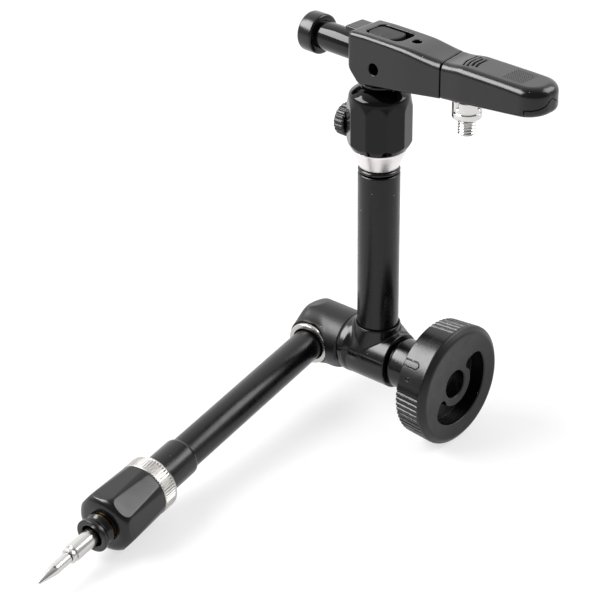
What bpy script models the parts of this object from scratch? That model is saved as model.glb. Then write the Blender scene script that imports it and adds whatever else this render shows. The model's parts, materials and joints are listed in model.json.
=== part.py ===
"""A two-section friction arm with one elbow knob, a tilting head with a grip, and a pointed probe.

All sizes are in metres. The elbow axis is X with the knob at +X, the upper tube stands along Z,
and the lower arm runs towards -Y and slopes down until its chuck rests level with the knob.
"""

import math

import bmesh
import bpy
from mathutils import Matrix, Vector

MM = 0.001
LEVEL = (0.0, 0.0, 0.0)
UP = (0.0, 0.0, 1.0)
PART_SET = "friction_arm"
HELPER_SET = "cutters"

# Shared fits
GAP = 0.3 * MM
EDGE = 0.6 * MM
FINE_STEPS = 36
ROUND_STEPS = 24
SMALL_STEPS = 14
ARC_STEPS = 6
BALL_STEPS = 9
CORNER_STEPS = 4
HEXAGON = 6
SHARP_ANGLE = math.radians(35)
QUARTER = math.pi / 2
OCTAGON = 8
OCTAGON_CORNER = 1 / math.cos(math.pi / OCTAGON)

# Elbow, measured along X from the upper tube's centre line
ARM_OFFSET = 40.3 * MM
SEAM = 16.6 * MM
HOUSING_R = 17.2 * MM
BARREL_R = 16.0 * MM
FLANGE_WIDTH = 4.6 * MM
BARREL_END = 16.5 * MM
DOME_START = 49.3 * MM
DOME_LENGTH = 3.2 * MM
LOWER_END = DOME_START + DOME_LENGTH
CAVITY_R = 10.8 * MM
BOSS_ROOT = 2.3 * MM
BOLT_R = 5.0 * MM
BOLT_BORE_R = BOLT_R + GAP
BOLT_HEAD_R = 7.8 * MM
BOLT_HEAD = 2.6 * MM
CAP_SLOT = 1.6 * MM
BOLT_PLAY = 0.9 * MM
WEDGE_MID_R = 8.0 * MM
WEDGE_RISE = 0.28
WEDGE_HALF = 5.4 * MM
CAP_LENGTH = LOWER_END - ARM_OFFSET - WEDGE_HALF - GAP - BOLT_HEAD - BOLT_PLAY
WASHER_R = 13.0 * MM
WASHER_LENGTH = 1.4 * MM
WEDGE_PLAY = 1.6 * MM
CAVITY_START = WEDGE_HALF + WEDGE_PLAY

# Thrust collar, seal and knob
SEAL_R = 1.1 * MM
SEAL_MID_R = 12.0 * MM
COLLAR_NECK_R = CAVITY_R - GAP
HUB_R = 14.6 * MM
HUB_START = BARREL_END + 2 * SEAL_R + 2 * GAP
PLATE_START = 37.9 * MM
PLATE_LENGTH = 2.4 * MM
PLATE_R = 22.0 * MM
KNOB_START = PLATE_START + PLATE_LENGTH + GAP
KNOB_R = 35.0 * MM
KNOB_BACK_R = 34.6 * MM
KNOB_LENGTH = 17.0 * MM
KNOB_RIM = KNOB_START + KNOB_LENGTH
KNOB_BEVEL = 3.4 * MM
KNOB_CROWN = 2.6 * MM
KNOB_FACE = KNOB_RIM + KNOB_CROWN
KNOB_DISH = 4.0 * MM
KNOB_HOLE_R = 8.2 * MM
KNOB_WEB = 7.4 * MM
NUT_R = 7.4 * MM
RIB_DEPTH = 1.1 * MM
KNOB_STEPS = 90
RIB_PITCH = 3
RIB_GROUP = math.radians(110)
RIB_STARTS = (math.radians(79), math.radians(259))
BACK_RECESS = 5.0 * MM
BACK_RECESS_IN = 24.5 * MM
BACK_RECESS_OUT = 30.5 * MM
POCKET_MID_R = 18.2 * MM
POCKET_HALF = 5.2 * MM
POCKET_DEPTH = 9.0 * MM
POCKET_FROM = math.radians(-47)
POCKET_TO = math.radians(121)
SCREW_RING_R = 16.0 * MM
SCREW_ANGLES = (math.radians(-52.5), math.radians(125.4))
SCREW_POCKET_R = 4.2 * MM
SCREW_HEAD_R = 3.3 * MM
SCREW_HEAD = 2.6 * MM
SCREW_R = 1.7 * MM
INDEX_ANGLE = math.radians(232)
INDEX_LENGTH = 10.0 * MM
INDEX_HALF = 2.0 * MM
INDEX_RISE = 0.5 * MM
INDEX_SINK = 2.0 * MM

# Lower arm, measured along its own centre line from the elbow axis
ARM_SKEW = math.radians(6.65)
ARM_SLOPE = math.radians(5.8)
LOWER_TUBE_R = 9.5 * MM
LOWER_BORE_R = 7.0 * MM
LOWER_SOCKET = 11.3 * MM
BOSS_R = 13.6 * MM
BOSS_SINK = 3.0 * MM
BOSS_END = HOUSING_R - BOSS_SINK
FERRULE_R = 13.0 * MM
FERRULE_LENGTH = 2.8 * MM
SLEEVE_START = 138.0 * MM
SLEEVE_R = 11.1 * MM
SLEEVE_LENGTH = 21.7 * MM
LOCK_START = SLEEVE_START + SLEEVE_LENGTH
LOCK_R = 16.3 * MM
LOCK_BAND = 9.0 * MM
LOCK_BEVEL = 3.8 * MM
LOCK_END = LOCK_START + LOCK_BEVEL + LOCK_BAND
LOCK_STEPS = 60
KNURL_DEPTH = 0.45 * MM
CHUCK_START = LOCK_END + GAP
CHUCK_BACK_R = 16.0 * MM
CHUCK_R = 17.5 * MM
CHUCK_BACK_FLAT_R = 15.5 * MM
CHUCK_FLAT_R = 16.4 * MM
CHUCK_ROLL = math.radians(5.0)
CHUCK_BODY = 21.7 * MM
CHUCK_NOSE = 12.0 * MM
CHUCK_SHOULDER = CHUCK_START + CHUCK_BODY
CHUCK_END = CHUCK_SHOULDER + CHUCK_NOSE
CHUCK_LIP_R = 9.6 * MM
MOUTH_R = 8.6 * MM
PROBE_BALL_R = 8.0 * MM
PROBE_BALL_SET = 0.5 * MM
PROBE_BALL_AT = CHUCK_SHOULDER + PROBE_BALL_SET
LOWER_TUBE_END = PROBE_BALL_AT - PROBE_BALL_R - 1.0 * MM
BALL_RING_SET = 5.2 * MM
BALL_RING_START = PROBE_BALL_AT + BALL_RING_SET
BALL_RING = 3.2 * MM
NOSE_R = 9.7 * MM
NOSE_LENGTH = 8.8 * MM
NOSE_END = CHUCK_END + NOSE_LENGTH
NOSE_FLANGE = 3.2 * MM
NOSE_BORE_R = 6.3 * MM
SHIM = 1.0 * MM
SEAT_LENGTH = 5.0 * MM
SHANK_R = 4.5 * MM
SHANK_LENGTH = 18.5 * MM
SHANK_END = NOSE_END + SHANK_LENGTH
TIP_R = 3.5 * MM
TIP_LENGTH = 9.7 * MM
POINT_LENGTH = 13.5 * MM
TIP_TAPER = SHANK_END + TIP_LENGTH
TIP_END = TIP_TAPER + POINT_LENGTH
TIP_POINT_R = 0.7 * MM
TIP_STUD_R = 2.2 * MM
TIP_STUD = 6.0 * MM

# Push rods and springs
ROD_R = 4.0 * MM
ROD_POINT_R = 1.2 * MM
ROD_POINT = 4.0 * MM
ROD_SHOULDER = 2.0 * MM
ROD_SHOULDER_AT = 36.0 * MM
ROD_REST = WEDGE_MID_R + ROD_POINT_R * WEDGE_RISE + GAP + 0.2 * MM
ROD_PAD = 4.6 * MM
GUIDE_AT = 66.0 * MM
GUIDE_LENGTH = 6.0 * MM
SPRING_WIRE = 0.6 * MM
SPRING_TURNS = 6
COIL_STEPS = 10

# Upper arm, measured up the tube from the elbow axis
UPPER_TUBE_R = 11.75 * MM
UPPER_BORE_R = 9.0 * MM
UPPER_SOCKET = 12.4 * MM
UPPER_BOSS_R = 14.4 * MM
UPPER_BOSS_END = 19.8 * MM
GUSSET_TOP_AT = 5.9 * MM
GUSSET_FOOT_AT = 16.2 * MM
GUSSET_TOP = 19.4 * MM
GUSSET_FOOT = 11.7 * MM
GUSSET_FROM = 2.0 * MM
GUSSET_WIDTH = 8.6 * MM
UPPER_TUBE_END = 114.4 * MM
SPIGOT_R = 9.0 * MM
SPIGOT_BORE_R = 6.6 * MM
BEAD_SPACE = 3.6 * MM
NECK_START = UPPER_TUBE_END + BEAD_SPACE
NECK_LOW_R = 11.0 * MM
NECK_TOP_R = 15.0 * MM
NECK_LENGTH = 10.9 * MM
COLLAR_START = NECK_START + NECK_LENGTH + GAP
COLLAR_R = 17.8 * MM
COLLAR_FLAT_R = 16.4 * MM
COLLAR_ROLL = math.radians(-13.8)
COLLAR_CHAMFER = 1.2 * MM
COLLAR_BODY = 28.7 * MM
COLLAR_CAP = 7.1 * MM
COLLAR_FLAT_DROP = 13.0 * MM
COLLAR_RUN_OUT = 4.0 * MM
COLLAR_FACET = COLLAR_START + COLLAR_CHAMFER
COLLAR_DOME = COLLAR_START + COLLAR_BODY
COLLAR_END = COLLAR_DOME + COLLAR_CAP
COLLAR_LIP_R = 10.6 * MM
HEAD_BALL_R = 9.8 * MM
HEAD_BALL_DEPTH = 23.5 * MM
HEAD_BALL_AT = COLLAR_END - HEAD_BALL_DEPTH
BALL_CAVITY_R = HEAD_BALL_R + 2 * GAP
CAVITY_DEPTH = 9.5 * MM
CAVITY_RISE = 6.0 * MM
CAVITY_FLOOR = HEAD_BALL_AT - CAVITY_DEPTH
CAVITY_TOP = HEAD_BALL_AT + CAVITY_RISE
STEM_R = 6.6 * MM
STEM_BORE_R = STEM_R + 2 * GAP
STEM_PIN_R = 2.9 * MM
STEM_PIN = 4.0 * MM
SEAT_WALL = 1.9 * MM
SEAT_HEIGHT = 3.4 * MM

# Thumb screw
THUMB_DROP = 2.6 * MM
THUMB_AT = HEAD_BALL_AT - THUMB_DROP
THUMB_R = 9.8 * MM
THUMB_START = COLLAR_R + 2 * GAP
THUMB_LENGTH = 7.6 * MM
THUMB_STEM_R = 3.0 * MM
THUMB_PAD_R = 2.7 * MM
THUMB_PAD = 2.6 * MM
THUMB_STEPS = 40
THUMB_FLUTE = 0.8 * MM

# Head, measured in its own turned frame: along, across, and up from the collar's end
HEAD_PAN = math.radians(-3.3)
HEAD_SET = -2.0 * MM
HEAD_LEFT = -10.5 * MM
HEAD_SEAM = 54.2 * MM
HEAD_TOP = 31.6 * MM
HEAD_LEFT_TOP = 30.4 * MM
HEAD_HALF = 13.0 * MM
HEAD_WAIST_HALF = 12.2 * MM
HEAD_LUG = -2.3 * MM
HEAD_LUG_Z = 2.9 * MM
HEAD_LEFT_Z = 11.4 * MM
WAIST_TOP = 30.0 * MM
WAIST_LOW = 10.3 * MM
WAIST_FROM = 28.0 * MM
TOP_ROUND = 3.0 * MM
LOW_ROUND = 1.6 * MM
PIVOT_AT = 8.9 * MM
PIVOT_Z = 14.4 * MM
PIVOT_R = 3.0 * MM
PIVOT_INSET = 1.4 * MM
TONGUE_HALF = 4.0 * MM
TONGUE_EYE_R = 6.8 * MM
TONGUE_LEFT = -3.9 * MM
TONGUE_RIGHT = 13.0 * MM
TONGUE_BASE = GAP
TONGUE_FLANGE = 1.9 * MM
TONGUE_FLANGE_R = 9.8 * MM
TONGUE_SHOULDER = 5.0 * MM
SLOT_LEFT = TONGUE_LEFT - HEAD_SET - GAP
SLOT_RIGHT = 22.6 * MM
LEDGE_LEFT = -19.0 * MM
LEDGE_LAP = 2.0 * MM
LEDGE_RIGHT = HEAD_LEFT + LEDGE_LAP
LEDGE_FRONT = -4.8 * MM
LEDGE_BACK = 8.5 * MM
LATCH_AT = 9.2 * MM
LATCH_POCKET_HALF = 12.4 * MM
LATCH_POCKET_SIDE = 7.4 * MM
LATCH_POCKET_ROUND = 4.0 * MM
LATCH_POCKET_FLOOR = 24.2 * MM
LATCH_HALF = 9.6 * MM
LATCH_SIDE = 6.4 * MM
LATCH_ROUND = 3.6 * MM
LATCH_PLAY = 0.8 * MM
LATCH_LEFT = LATCH_AT - LATCH_POCKET_HALF + LATCH_PLAY
LATCH_LENGTH = 3.4 * MM
LATCH_DROP = 0.5 * MM
LATCH_SPRING_R = 2.6 * MM
TOP_HOLE_AT = 28.0 * MM
TOP_HOLE_R = 2.6 * MM
TOP_HOLE = 5.0 * MM

# Spigot on the head's left end
SPIGOT_Z = 17.7 * MM
SPIGOT_SHANK_R = 8.0 * MM
SPIGOT_FLANGE_R = 11.2 * MM
SPIGOT_FLANGE_FROM = 39.2 * MM
SPIGOT_END = 49.3 * MM
TENON_R = 4.5 * MM
TENON_END = 5.7 * MM
TENON_GROOVE_R = 3.5 * MM
TENON_GROOVE_AT = 8.0 * MM
TENON_GROOVE_HALF = 0.9 * MM
GRUB_R = 2.0 * MM
GRUB_TIP_R = 0.6 * MM
GRUB_END = 11.6 * MM

# Grip
GRIP_START = HEAD_SEAM + 2 * GAP
GRIP_LENGTH = 63.0 * MM
GRIP_END = GRIP_START + GRIP_LENGTH
GRIP_TOP = 31.3 * MM
GRIP_HALF = 12.7 * MM
GRIP_LOW_END = 15.1 * MM
GRIP_SHOULDER = 11.2 * MM
GRIP_SHOULDER_AT = GRIP_START + GRIP_SHOULDER
GRIP_NOSE = 14.8 * MM
GRIP_ROUND_FROM = GRIP_END - GRIP_NOSE
TANG_INSET = 10.2 * MM
TANG_LENGTH = 36.0 * MM
TANG_FROM = HEAD_SEAM - TANG_INSET
TANG_TO = TANG_FROM + TANG_LENGTH
TANG_HALF = 7.5 * MM
TANG_LOW = 19.0 * MM
TANG_TOP = 25.2 * MM
STUD_SET = 8.3 * MM
STUD_AT = GRIP_START + STUD_SET
STUD_R = 4.76 * MM
STUD_THREAD = 0.7 * MM
STUD_PITCH = 1.5875 * MM
STUD_LOW = -10.2 * MM
STUD_TOP = 23.0 * MM
STUD_TURNS = 6
NUT_COLLAR_R = 8.0 * MM
NUT_COLLAR_LOW = -0.8 * MM
NUT_COLLAR_TOP = WAIST_LOW - 2 * GAP
NUT_RING = 3.8 * MM
NUT_GROOVE = 1.0 * MM
NUT_SLOT_HALF = 0.8 * MM
NUT_SLOT = 4.0 * MM
COVER_LENGTH = 14.0 * MM
COVER_FROM = GRIP_END - COVER_LENGTH
COVER_FROM_Z = 14.9 * MM
COVER_ANGLE = math.radians(32)
GROOVE_SET = 8.2 * MM
GROOVE_FROM = GRIP_START + GROOVE_SET
GROOVE_PITCH = 2.6 * MM
GROOVE_COUNT = 4
GROOVE_DEPTH = 0.6 * MM
GROOVE_HALF = 0.45 * MM
GROOVE_SIDE = 7.5 * MM
REACH = 80.0 * MM

# Finishes: colour, roughness and metallic value, and the pieces that have them
FINISHES = {
    "black_paint": ((0.020, 0.020, 0.022), 0.36, 0.0),
    "black_tube": ((0.014, 0.014, 0.016), 0.30, 0.0),
    "black_plastic": ((0.024, 0.024, 0.026), 0.50, 0.0),
    "black_rubber": ((0.012, 0.012, 0.012), 0.70, 0.0),
    "nickel": ((0.66, 0.64, 0.62), 0.24, 1.0),
    "steel": ((0.50, 0.50, 0.52), 0.36, 1.0),
    "brass": ((0.70, 0.50, 0.24), 0.30, 1.0),
    "bearing_plastic": ((0.70, 0.68, 0.62), 0.50, 0.0),
}
FINISHED = {
    "black_paint": (
        "lower_housing",
        "upper_housing",
        "elbow_cap",
        "thrust_collar",
        "lower_sleeve",
        "chuck",
        "nose_bush",
        "collar",
        "head_tongue",
        "head_body",
        "spigot",
    ),
    "black_tube": ("lower_tube", "upper_tube"),
    "black_plastic": ("knob", "thumb_knob", "latch_button", "grip_shell", "grip_cover"),
    "black_rubber": ("elbow_seal", "upper_seal"),
    "nickel": (
        "lower_ferrule",
        "lock_ring",
        "neck_ring",
        "probe_shank",
        "probe_tip",
        "stud_collar",
        "accessory_stud",
    ),
    "steel": (
        "draw_bolt",
        "lower_wedge",
        "upper_wedge",
        "knob_plate",
        "knob_nut",
        "knob_screw_a",
        "knob_screw_b",
        "lower_rod",
        "upper_rod",
        "lower_rod_spring",
        "upper_rod_spring",
        "thumb_stem",
        "head_ball",
        "pivot_pin",
        "latch_spring",
        "grub_screw",
        "grip_tang",
    ),
    "brass": ("nose_shim", "thumb_pad", "lower_rod_pad", "upper_rod_pad", "lower_rod_guide", "upper_rod_guide"),
    "bearing_plastic": ("elbow_washer", "ball_ring", "ball_seat", "head_seat"),
}


def arc(mid_r, mid_z, radius, start, end, count):
    """Outline points on part of a circle in the radius and height plane."""
    points = []
    for index in range(count + 1):
        angle = start + (end - start) * index / count
        points.append((mid_r + radius * math.cos(angle), mid_z + radius * math.sin(angle)))
    return points


def oval(mid_r, mid_z, radius, height, count):
    """Outline points from the side of a shoulder up and in to its top."""
    points = []
    for index in range(count + 1):
        angle = QUARTER * index / count
        points.append((mid_r + radius * math.cos(angle), mid_z + height * math.sin(angle)))
    return points


def group(name):
    """The named collection, made on first use."""
    found = bpy.data.collections.get(name)
    if found is None:
        found = bpy.data.collections.new(name)
        bpy.context.scene.collection.children.link(found)
    return found


def frame(name, parent, location=LEVEL, rotation=LEVEL):
    """An empty that carries pieces built in their own axes."""
    empty = bpy.data.objects.new(name, None)
    group(PART_SET).objects.link(empty)
    empty.location = location
    empty.rotation_euler = rotation
    empty.parent = parent
    return empty


def place(name, work, parent):
    """Turn a finished bmesh into a named object with its faces outwards and its curves smooth."""
    bmesh.ops.recalc_face_normals(work, faces=work.faces)
    mesh = bpy.data.meshes.new(name)
    work.to_mesh(mesh)
    work.free()
    mesh.shade_smooth()
    mesh.set_sharp_from_angle(angle=SHARP_ANGLE)
    thing = bpy.data.objects.new(name, mesh)
    group(PART_SET).objects.link(thing)
    thing.parent = parent
    return thing


def close_ends(work):
    """Fill the open rims of a swept surface with flat faces."""
    bmesh.ops.holes_fill(work, edges=[edge for edge in work.edges if edge.is_boundary])


def turned(name, outline, parent, steps, dips=None):
    """A turned piece from radius and height points; points on the axis close its ends flat.

    A third number on a point is its share of the dips, one depth for each step round the piece.
    """
    work = bmesh.new()
    share = work.verts.layers.float.new("share")
    capped = outline[0][0] == 0.0
    profile = []
    for entry in outline:
        if entry[0] > 0.0:
            corner = work.verts.new((entry[0], 0.0, entry[1]))
            corner[share] = entry[2] if dips else 0.0
            profile.append(corner)
    pairs = list(zip(profile, profile[1:]))
    if not capped:
        pairs.append((profile[-1], profile[0]))
    lines = [work.edges.new(pair) for pair in pairs]
    turn = {"cent": LEVEL, "axis": UP, "angle": 2 * math.pi, "steps": steps, "use_merge": True}
    bmesh.ops.spin(work, geom=profile + lines, **turn)
    if capped:
        close_ends(work)
    for corner in work.verts:
        if corner[share]:
            step = round(math.atan2(corner.co.y, corner.co.x) * steps / (2 * math.pi)) % steps
            spread = 1 - corner[share] * dips[step] / corner.co.xy.length
            corner.co = (corner.co.x * spread, corner.co.y * spread, corner.co.z)
    return place(name, work, parent)


def rod(name, radius, start, end, parent, steps=SMALL_STEPS, roll=0.0):
    """A plain round or many-sided bar along the frame's Z."""
    work = bmesh.new()
    spot = Matrix.Translation((0.0, 0.0, (start + end) / 2)) @ Matrix.Rotation(roll, 4, "Z")
    size = {"segments": steps, "radius1": radius, "radius2": radius, "depth": end - start}
    bmesh.ops.create_cone(work, cap_ends=True, matrix=spot, **size)
    return place(name, work, parent)


def tube(name, outer, inner, start, end, parent, steps=ROUND_STEPS):
    """A plain ring with small outer chamfers."""
    outline = [
        (inner, start),
        (outer - EDGE, start),
        (outer, start + EDGE),
        (outer, end - EDGE),
        (outer - EDGE, end),
        (inner, end),
    ]
    return turned(name, outline, parent, steps)


def block(name, low, high, parent):
    """A box between two corners."""
    work = bmesh.new()
    size = Vector(high) - Vector(low)
    middle = (Vector(high) + Vector(low)) / 2
    bmesh.ops.create_cube(work, size=1.0, matrix=Matrix.LocRotScale(middle, None, size))
    return place(name, work, parent)


def extruded(name, outline, depth, parent):
    """A flat outline drawn out along one direction."""
    work = bmesh.new()
    face = work.faces.new([work.verts.new(point) for point in outline])
    grown = bmesh.ops.extrude_face_region(work, geom=[face])
    moved = [item for item in grown["geom"] if isinstance(item, bmesh.types.BMVert)]
    bmesh.ops.translate(work, vec=depth, verts=moved)
    return place(name, work, parent)


def rounded(half_x, half_y, corner):
    """Points round a rectangle with round corners."""
    points = []
    corners = ((1, 1, 0), (-1, 1, 1), (-1, -1, 2), (1, -1, 3))
    for side_x, side_y, turn in corners:
        for index in range(CORNER_STEPS + 1):
            angle = QUARTER * (turn + index / CORNER_STEPS)
            x = side_x * (half_x - corner) + corner * math.cos(angle)
            y = side_y * (half_y - corner) + corner * math.sin(angle)
            points.append((x, y))
    return points


def pad(name, middle, half_x, half_y, corner, low, high, parent):
    """A flat pad with round corners, standing along Z."""
    outline = [(middle + x, y, low) for x, y in rounded(half_x, half_y, corner)]
    return extruded(name, outline, (0.0, 0.0, high - low), parent)


def loft(name, sections, parent):
    """A casting through sections of along, half width, bottom, top and two corner sizes."""
    work = bmesh.new()
    loops = []
    for along, half, low, high, top_round, low_round in sections:
        middle = (low + high) / 2
        tall = (high - low) / 2
        loop = []
        for across, up in rounded(half, tall, top_round):
            if up < 0:
                spare = top_round - low_round
                reach = abs(across) + spare * (half - abs(across)) / top_round
                across = math.copysign(min(half, reach), across)
            loop.append(work.verts.new((along, across, middle + up)))
        loops.append(loop)
    for near, far in zip(loops, loops[1:]):
        for index in range(len(near)):
            work.faces.new((near[index - 1], near[index], far[index], far[index - 1]))
    close_ends(work)
    return place(name, work, parent)


def sector(name, inner, outer, start, end, low, high, parent):
    """Part of a ring between two angles."""
    work = bmesh.new()
    first = Matrix.Rotation(start, 3, "Z")
    corners = ((inner, low), (outer, low), (outer, high), (inner, high))
    loop = [work.verts.new(first @ Vector((size, 0.0, z))) for size, z in corners]
    lines = [work.edges.new((loop[index - 1], loop[index])) for index in range(len(loop))]
    turn = {"cent": LEVEL, "axis": UP, "angle": end - start, "steps": SMALL_STEPS}
    bmesh.ops.spin(work, geom=loop + lines, **turn)
    close_ends(work)
    return place(name, work, parent)


def coil(name, radius, wire, start, end, turns, parent):
    """A spring wound about the frame's Z."""
    path = bpy.data.curves.new(name, "CURVE")
    path.dimensions = "3D"
    path.bevel_depth = wire
    path.bevel_resolution = 0
    path.use_fill_caps = True
    line = path.splines.new("POLY")
    total = turns * COIL_STEPS
    line.points.add(total)
    for index, point in enumerate(line.points):
        angle = 2 * math.pi * index / COIL_STEPS
        height = start + wire + (end - start - 2 * wire) * index / total
        point.co = (radius * math.cos(angle), radius * math.sin(angle), height, 1.0)
    thing = bpy.data.objects.new(name, path)
    group(PART_SET).objects.link(thing)
    thing.parent = parent
    return thing


def combine(target, other, operation):
    """Apply a hidden helper to a piece."""
    group(PART_SET).objects.unlink(other)
    group(HELPER_SET).objects.link(other)
    other.hide_render = True
    other.display_type = "WIRE"
    step = target.modifiers.new(other.name, "BOOLEAN")
    step.operation = operation
    step.solver = "EXACT"
    step.object = other


def cut(target, *helpers):
    for helper in helpers:
        combine(target, helper, "DIFFERENCE")


def add(target, *helpers):
    for helper in helpers:
        combine(target, helper, "UNION")


def keep(target, helper):
    combine(target, helper, "INTERSECT")


def rib_dips():
    """Groove depth at each step round the knob: two ribbed groups, two smooth windows."""
    dips = []
    for index in range(KNOB_STEPS):
        angle = 2 * math.pi * index / KNOB_STEPS
        inside = any((angle - start) % (2 * math.pi) < RIB_GROUP for start in RIB_STARTS)
        dips.append(RIB_DEPTH if inside and index % RIB_PITCH == 0 else 0.0)
    return dips


def push_rod(name, rest, end, shoulder_r, parent):
    """A rod with a blunt point on its wedge and a shoulder for its spring."""
    outline = [
        (0.0, rest),
        (ROD_POINT_R, rest),
        (ROD_R, rest + ROD_POINT),
        (ROD_R, ROD_SHOULDER_AT),
        (shoulder_r, ROD_SHOULDER_AT),
        (shoulder_r, ROD_SHOULDER_AT + ROD_SHOULDER),
        (ROD_R, ROD_SHOULDER_AT + ROD_SHOULDER),
        (ROD_R, end),
        (0.0, end),
    ]
    return turned(name, outline, parent, SMALL_STEPS)


def rod_set(prefix, end, pad_end, bore_r, pad_r, parent):
    """Push rod, its pad, its guide and its return spring inside one tube."""
    push_rod(prefix + "_rod", ROD_REST, end, bore_r - 2 * GAP, parent)
    rod(prefix + "_rod_pad", pad_r, end + GAP, pad_end, parent)
    tube(prefix + "_rod_guide", bore_r - GAP, ROD_R + GAP, GUIDE_AT, GUIDE_AT + GUIDE_LENGTH, parent)
    low = ROD_SHOULDER_AT + ROD_SHOULDER + GAP
    radius = ROD_R + GAP + SPRING_WIRE
    coil(prefix + "_rod_spring", radius, SPRING_WIRE, low, GUIDE_AT - GAP, SPRING_TURNS, parent)


def wedge(name, middle, rise, parent):
    """A cone on the draw bolt; it lifts a push rod as it slides."""
    low = middle - WEDGE_HALF
    high = middle + WEDGE_HALF
    outline = [
        (BOLT_BORE_R, low),
        (WEDGE_MID_R - rise * WEDGE_HALF, low),
        (WEDGE_MID_R + rise * WEDGE_HALF, high),
        (BOLT_BORE_R, high),
    ]
    return turned(name, outline, parent, ROUND_STEPS)


def build_elbow(elbow, lower, root):
    """Both housings, the draw bolt and what it pulls."""
    face = -SEAM - GAP
    outline = [(0.0, face), (HOUSING_R - EDGE, face), (HOUSING_R, face - EDGE)]
    dome = oval(CAVITY_R + EDGE, DOME_START, HOUSING_R - CAVITY_R - EDGE, DOME_LENGTH, ARC_STEPS)
    outline += [(radius, -height) for radius, height in dome]
    outline += [(0.0, -LOWER_END)]
    housing = turned("lower_housing", outline, elbow, FINE_STEPS)
    shell = [
        (0.0, BOSS_ROOT),
        (BOSS_R, BOSS_ROOT),
        (BOSS_R, BOSS_END - EDGE),
        (BOSS_R - EDGE, BOSS_END),
        (0.0, BOSS_END),
    ]
    boss = turned("boss_form", shell, lower, FINE_STEPS)
    hollow = rod("lower_hollow", CAVITY_R, -REACH, -ARM_OFFSET + CAVITY_R, elbow, ROUND_STEPS)
    way = rod("lower_bolt_way", BOLT_BORE_R, -ARM_OFFSET, 0.0, elbow)
    seat = rod("ferrule_seat", FERRULE_R + GAP, BOSS_END, BOSS_END + REACH, lower, FINE_STEPS)
    socket = rod("lower_socket", LOWER_TUBE_R + GAP, LOWER_SOCKET, REACH, lower, ROUND_STEPS)
    passage = rod("lower_passage", ROD_R + 2 * GAP, BOSS_ROOT, REACH, lower, SMALL_STEPS)
    add(housing, boss)
    cut(housing, hollow, way, seat, socket, passage)

    cap = tube("elbow_cap", CAVITY_R - GAP, EDGE, -LOWER_END, -LOWER_END + CAP_LENGTH, elbow)
    half = CAVITY_R + GAP
    slot_low = (-half, -CAP_SLOT / 2, -LOWER_END - CAP_SLOT)
    slot_high = (half, CAP_SLOT / 2, -LOWER_END + CAP_SLOT)
    cut(cap, block("cap_slot", slot_low, slot_high, elbow))

    head_end = -ARM_OFFSET - WEDGE_HALF - GAP
    bolt_end = KNOB_START + KNOB_WEB - 2 * GAP
    outline = [
        (0.0, head_end - BOLT_HEAD),
        (BOLT_HEAD_R, head_end - BOLT_HEAD),
        (BOLT_HEAD_R, head_end),
        (BOLT_R, head_end),
        (BOLT_R, bolt_end - EDGE),
        (BOLT_R - EDGE, bolt_end),
        (0.0, bolt_end),
    ]
    turned("draw_bolt", outline, elbow, ROUND_STEPS)
    wedge("lower_wedge", -ARM_OFFSET, -WEDGE_RISE, elbow)
    wedge("upper_wedge", 0.0, WEDGE_RISE, elbow)

    step = -SEAM + FLANGE_WIDTH
    outline = [
        (0.0, -SEAM),
        (HOUSING_R - EDGE, -SEAM),
        (HOUSING_R, -SEAM + EDGE),
        (HOUSING_R, step),
        (BARREL_R, step + HOUSING_R - BARREL_R),
        (BARREL_R, BARREL_END - EDGE),
        (BARREL_R - EDGE, BARREL_END),
        (0.0, BARREL_END),
    ]
    upper = turned("upper_housing", outline, elbow, FINE_STEPS)
    shell = [(0.0, BOSS_ROOT), (UPPER_BOSS_R, BOSS_ROOT)]
    shell += [(UPPER_BOSS_R, UPPER_BOSS_END - EDGE), (UPPER_BOSS_R - EDGE, UPPER_BOSS_END)]
    shell += [(0.0, UPPER_BOSS_END)]
    boss = turned("upper_boss_form", shell, root, FINE_STEPS)
    side = [(0.0, BOSS_ROOT), (GUSSET_FOOT_AT, BOSS_ROOT), (GUSSET_FOOT_AT, GUSSET_FOOT)]
    side += [(GUSSET_TOP_AT, GUSSET_TOP), (0.0, GUSSET_TOP)]
    outline = [(along, GUSSET_FROM, height) for along, height in side]
    gusset = extruded("gusset_form", outline, (0.0, GUSSET_WIDTH, 0.0), root)
    hollow = rod("upper_hollow", CAVITY_R, -CAVITY_START, REACH, elbow, ROUND_STEPS)
    way = rod("upper_bolt_way", BOLT_BORE_R, -REACH, 0.0, elbow)
    recess = rod("washer_seat", WASHER_R + GAP, -REACH, -SEAM + WASHER_LENGTH + GAP, elbow, ROUND_STEPS)
    socket = rod("upper_socket", UPPER_TUBE_R + GAP, UPPER_SOCKET, REACH, root, ROUND_STEPS)
    passage = rod("upper_passage", ROD_R + 2 * GAP, BOSS_ROOT, REACH, root, SMALL_STEPS)
    add(upper, boss, gusset)
    cut(upper, hollow, way, recess, socket, passage)
    tube("elbow_washer", WASHER_R, BOLT_BORE_R, -SEAM, -SEAM + WASHER_LENGTH, elbow)
    seal_at = BARREL_END + GAP + SEAL_R
    seal = arc(SEAL_MID_R, seal_at, SEAL_R, 0.0, 2 * math.pi, ARC_STEPS)
    turned("elbow_seal", seal[:-1], elbow, ROUND_STEPS)


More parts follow.
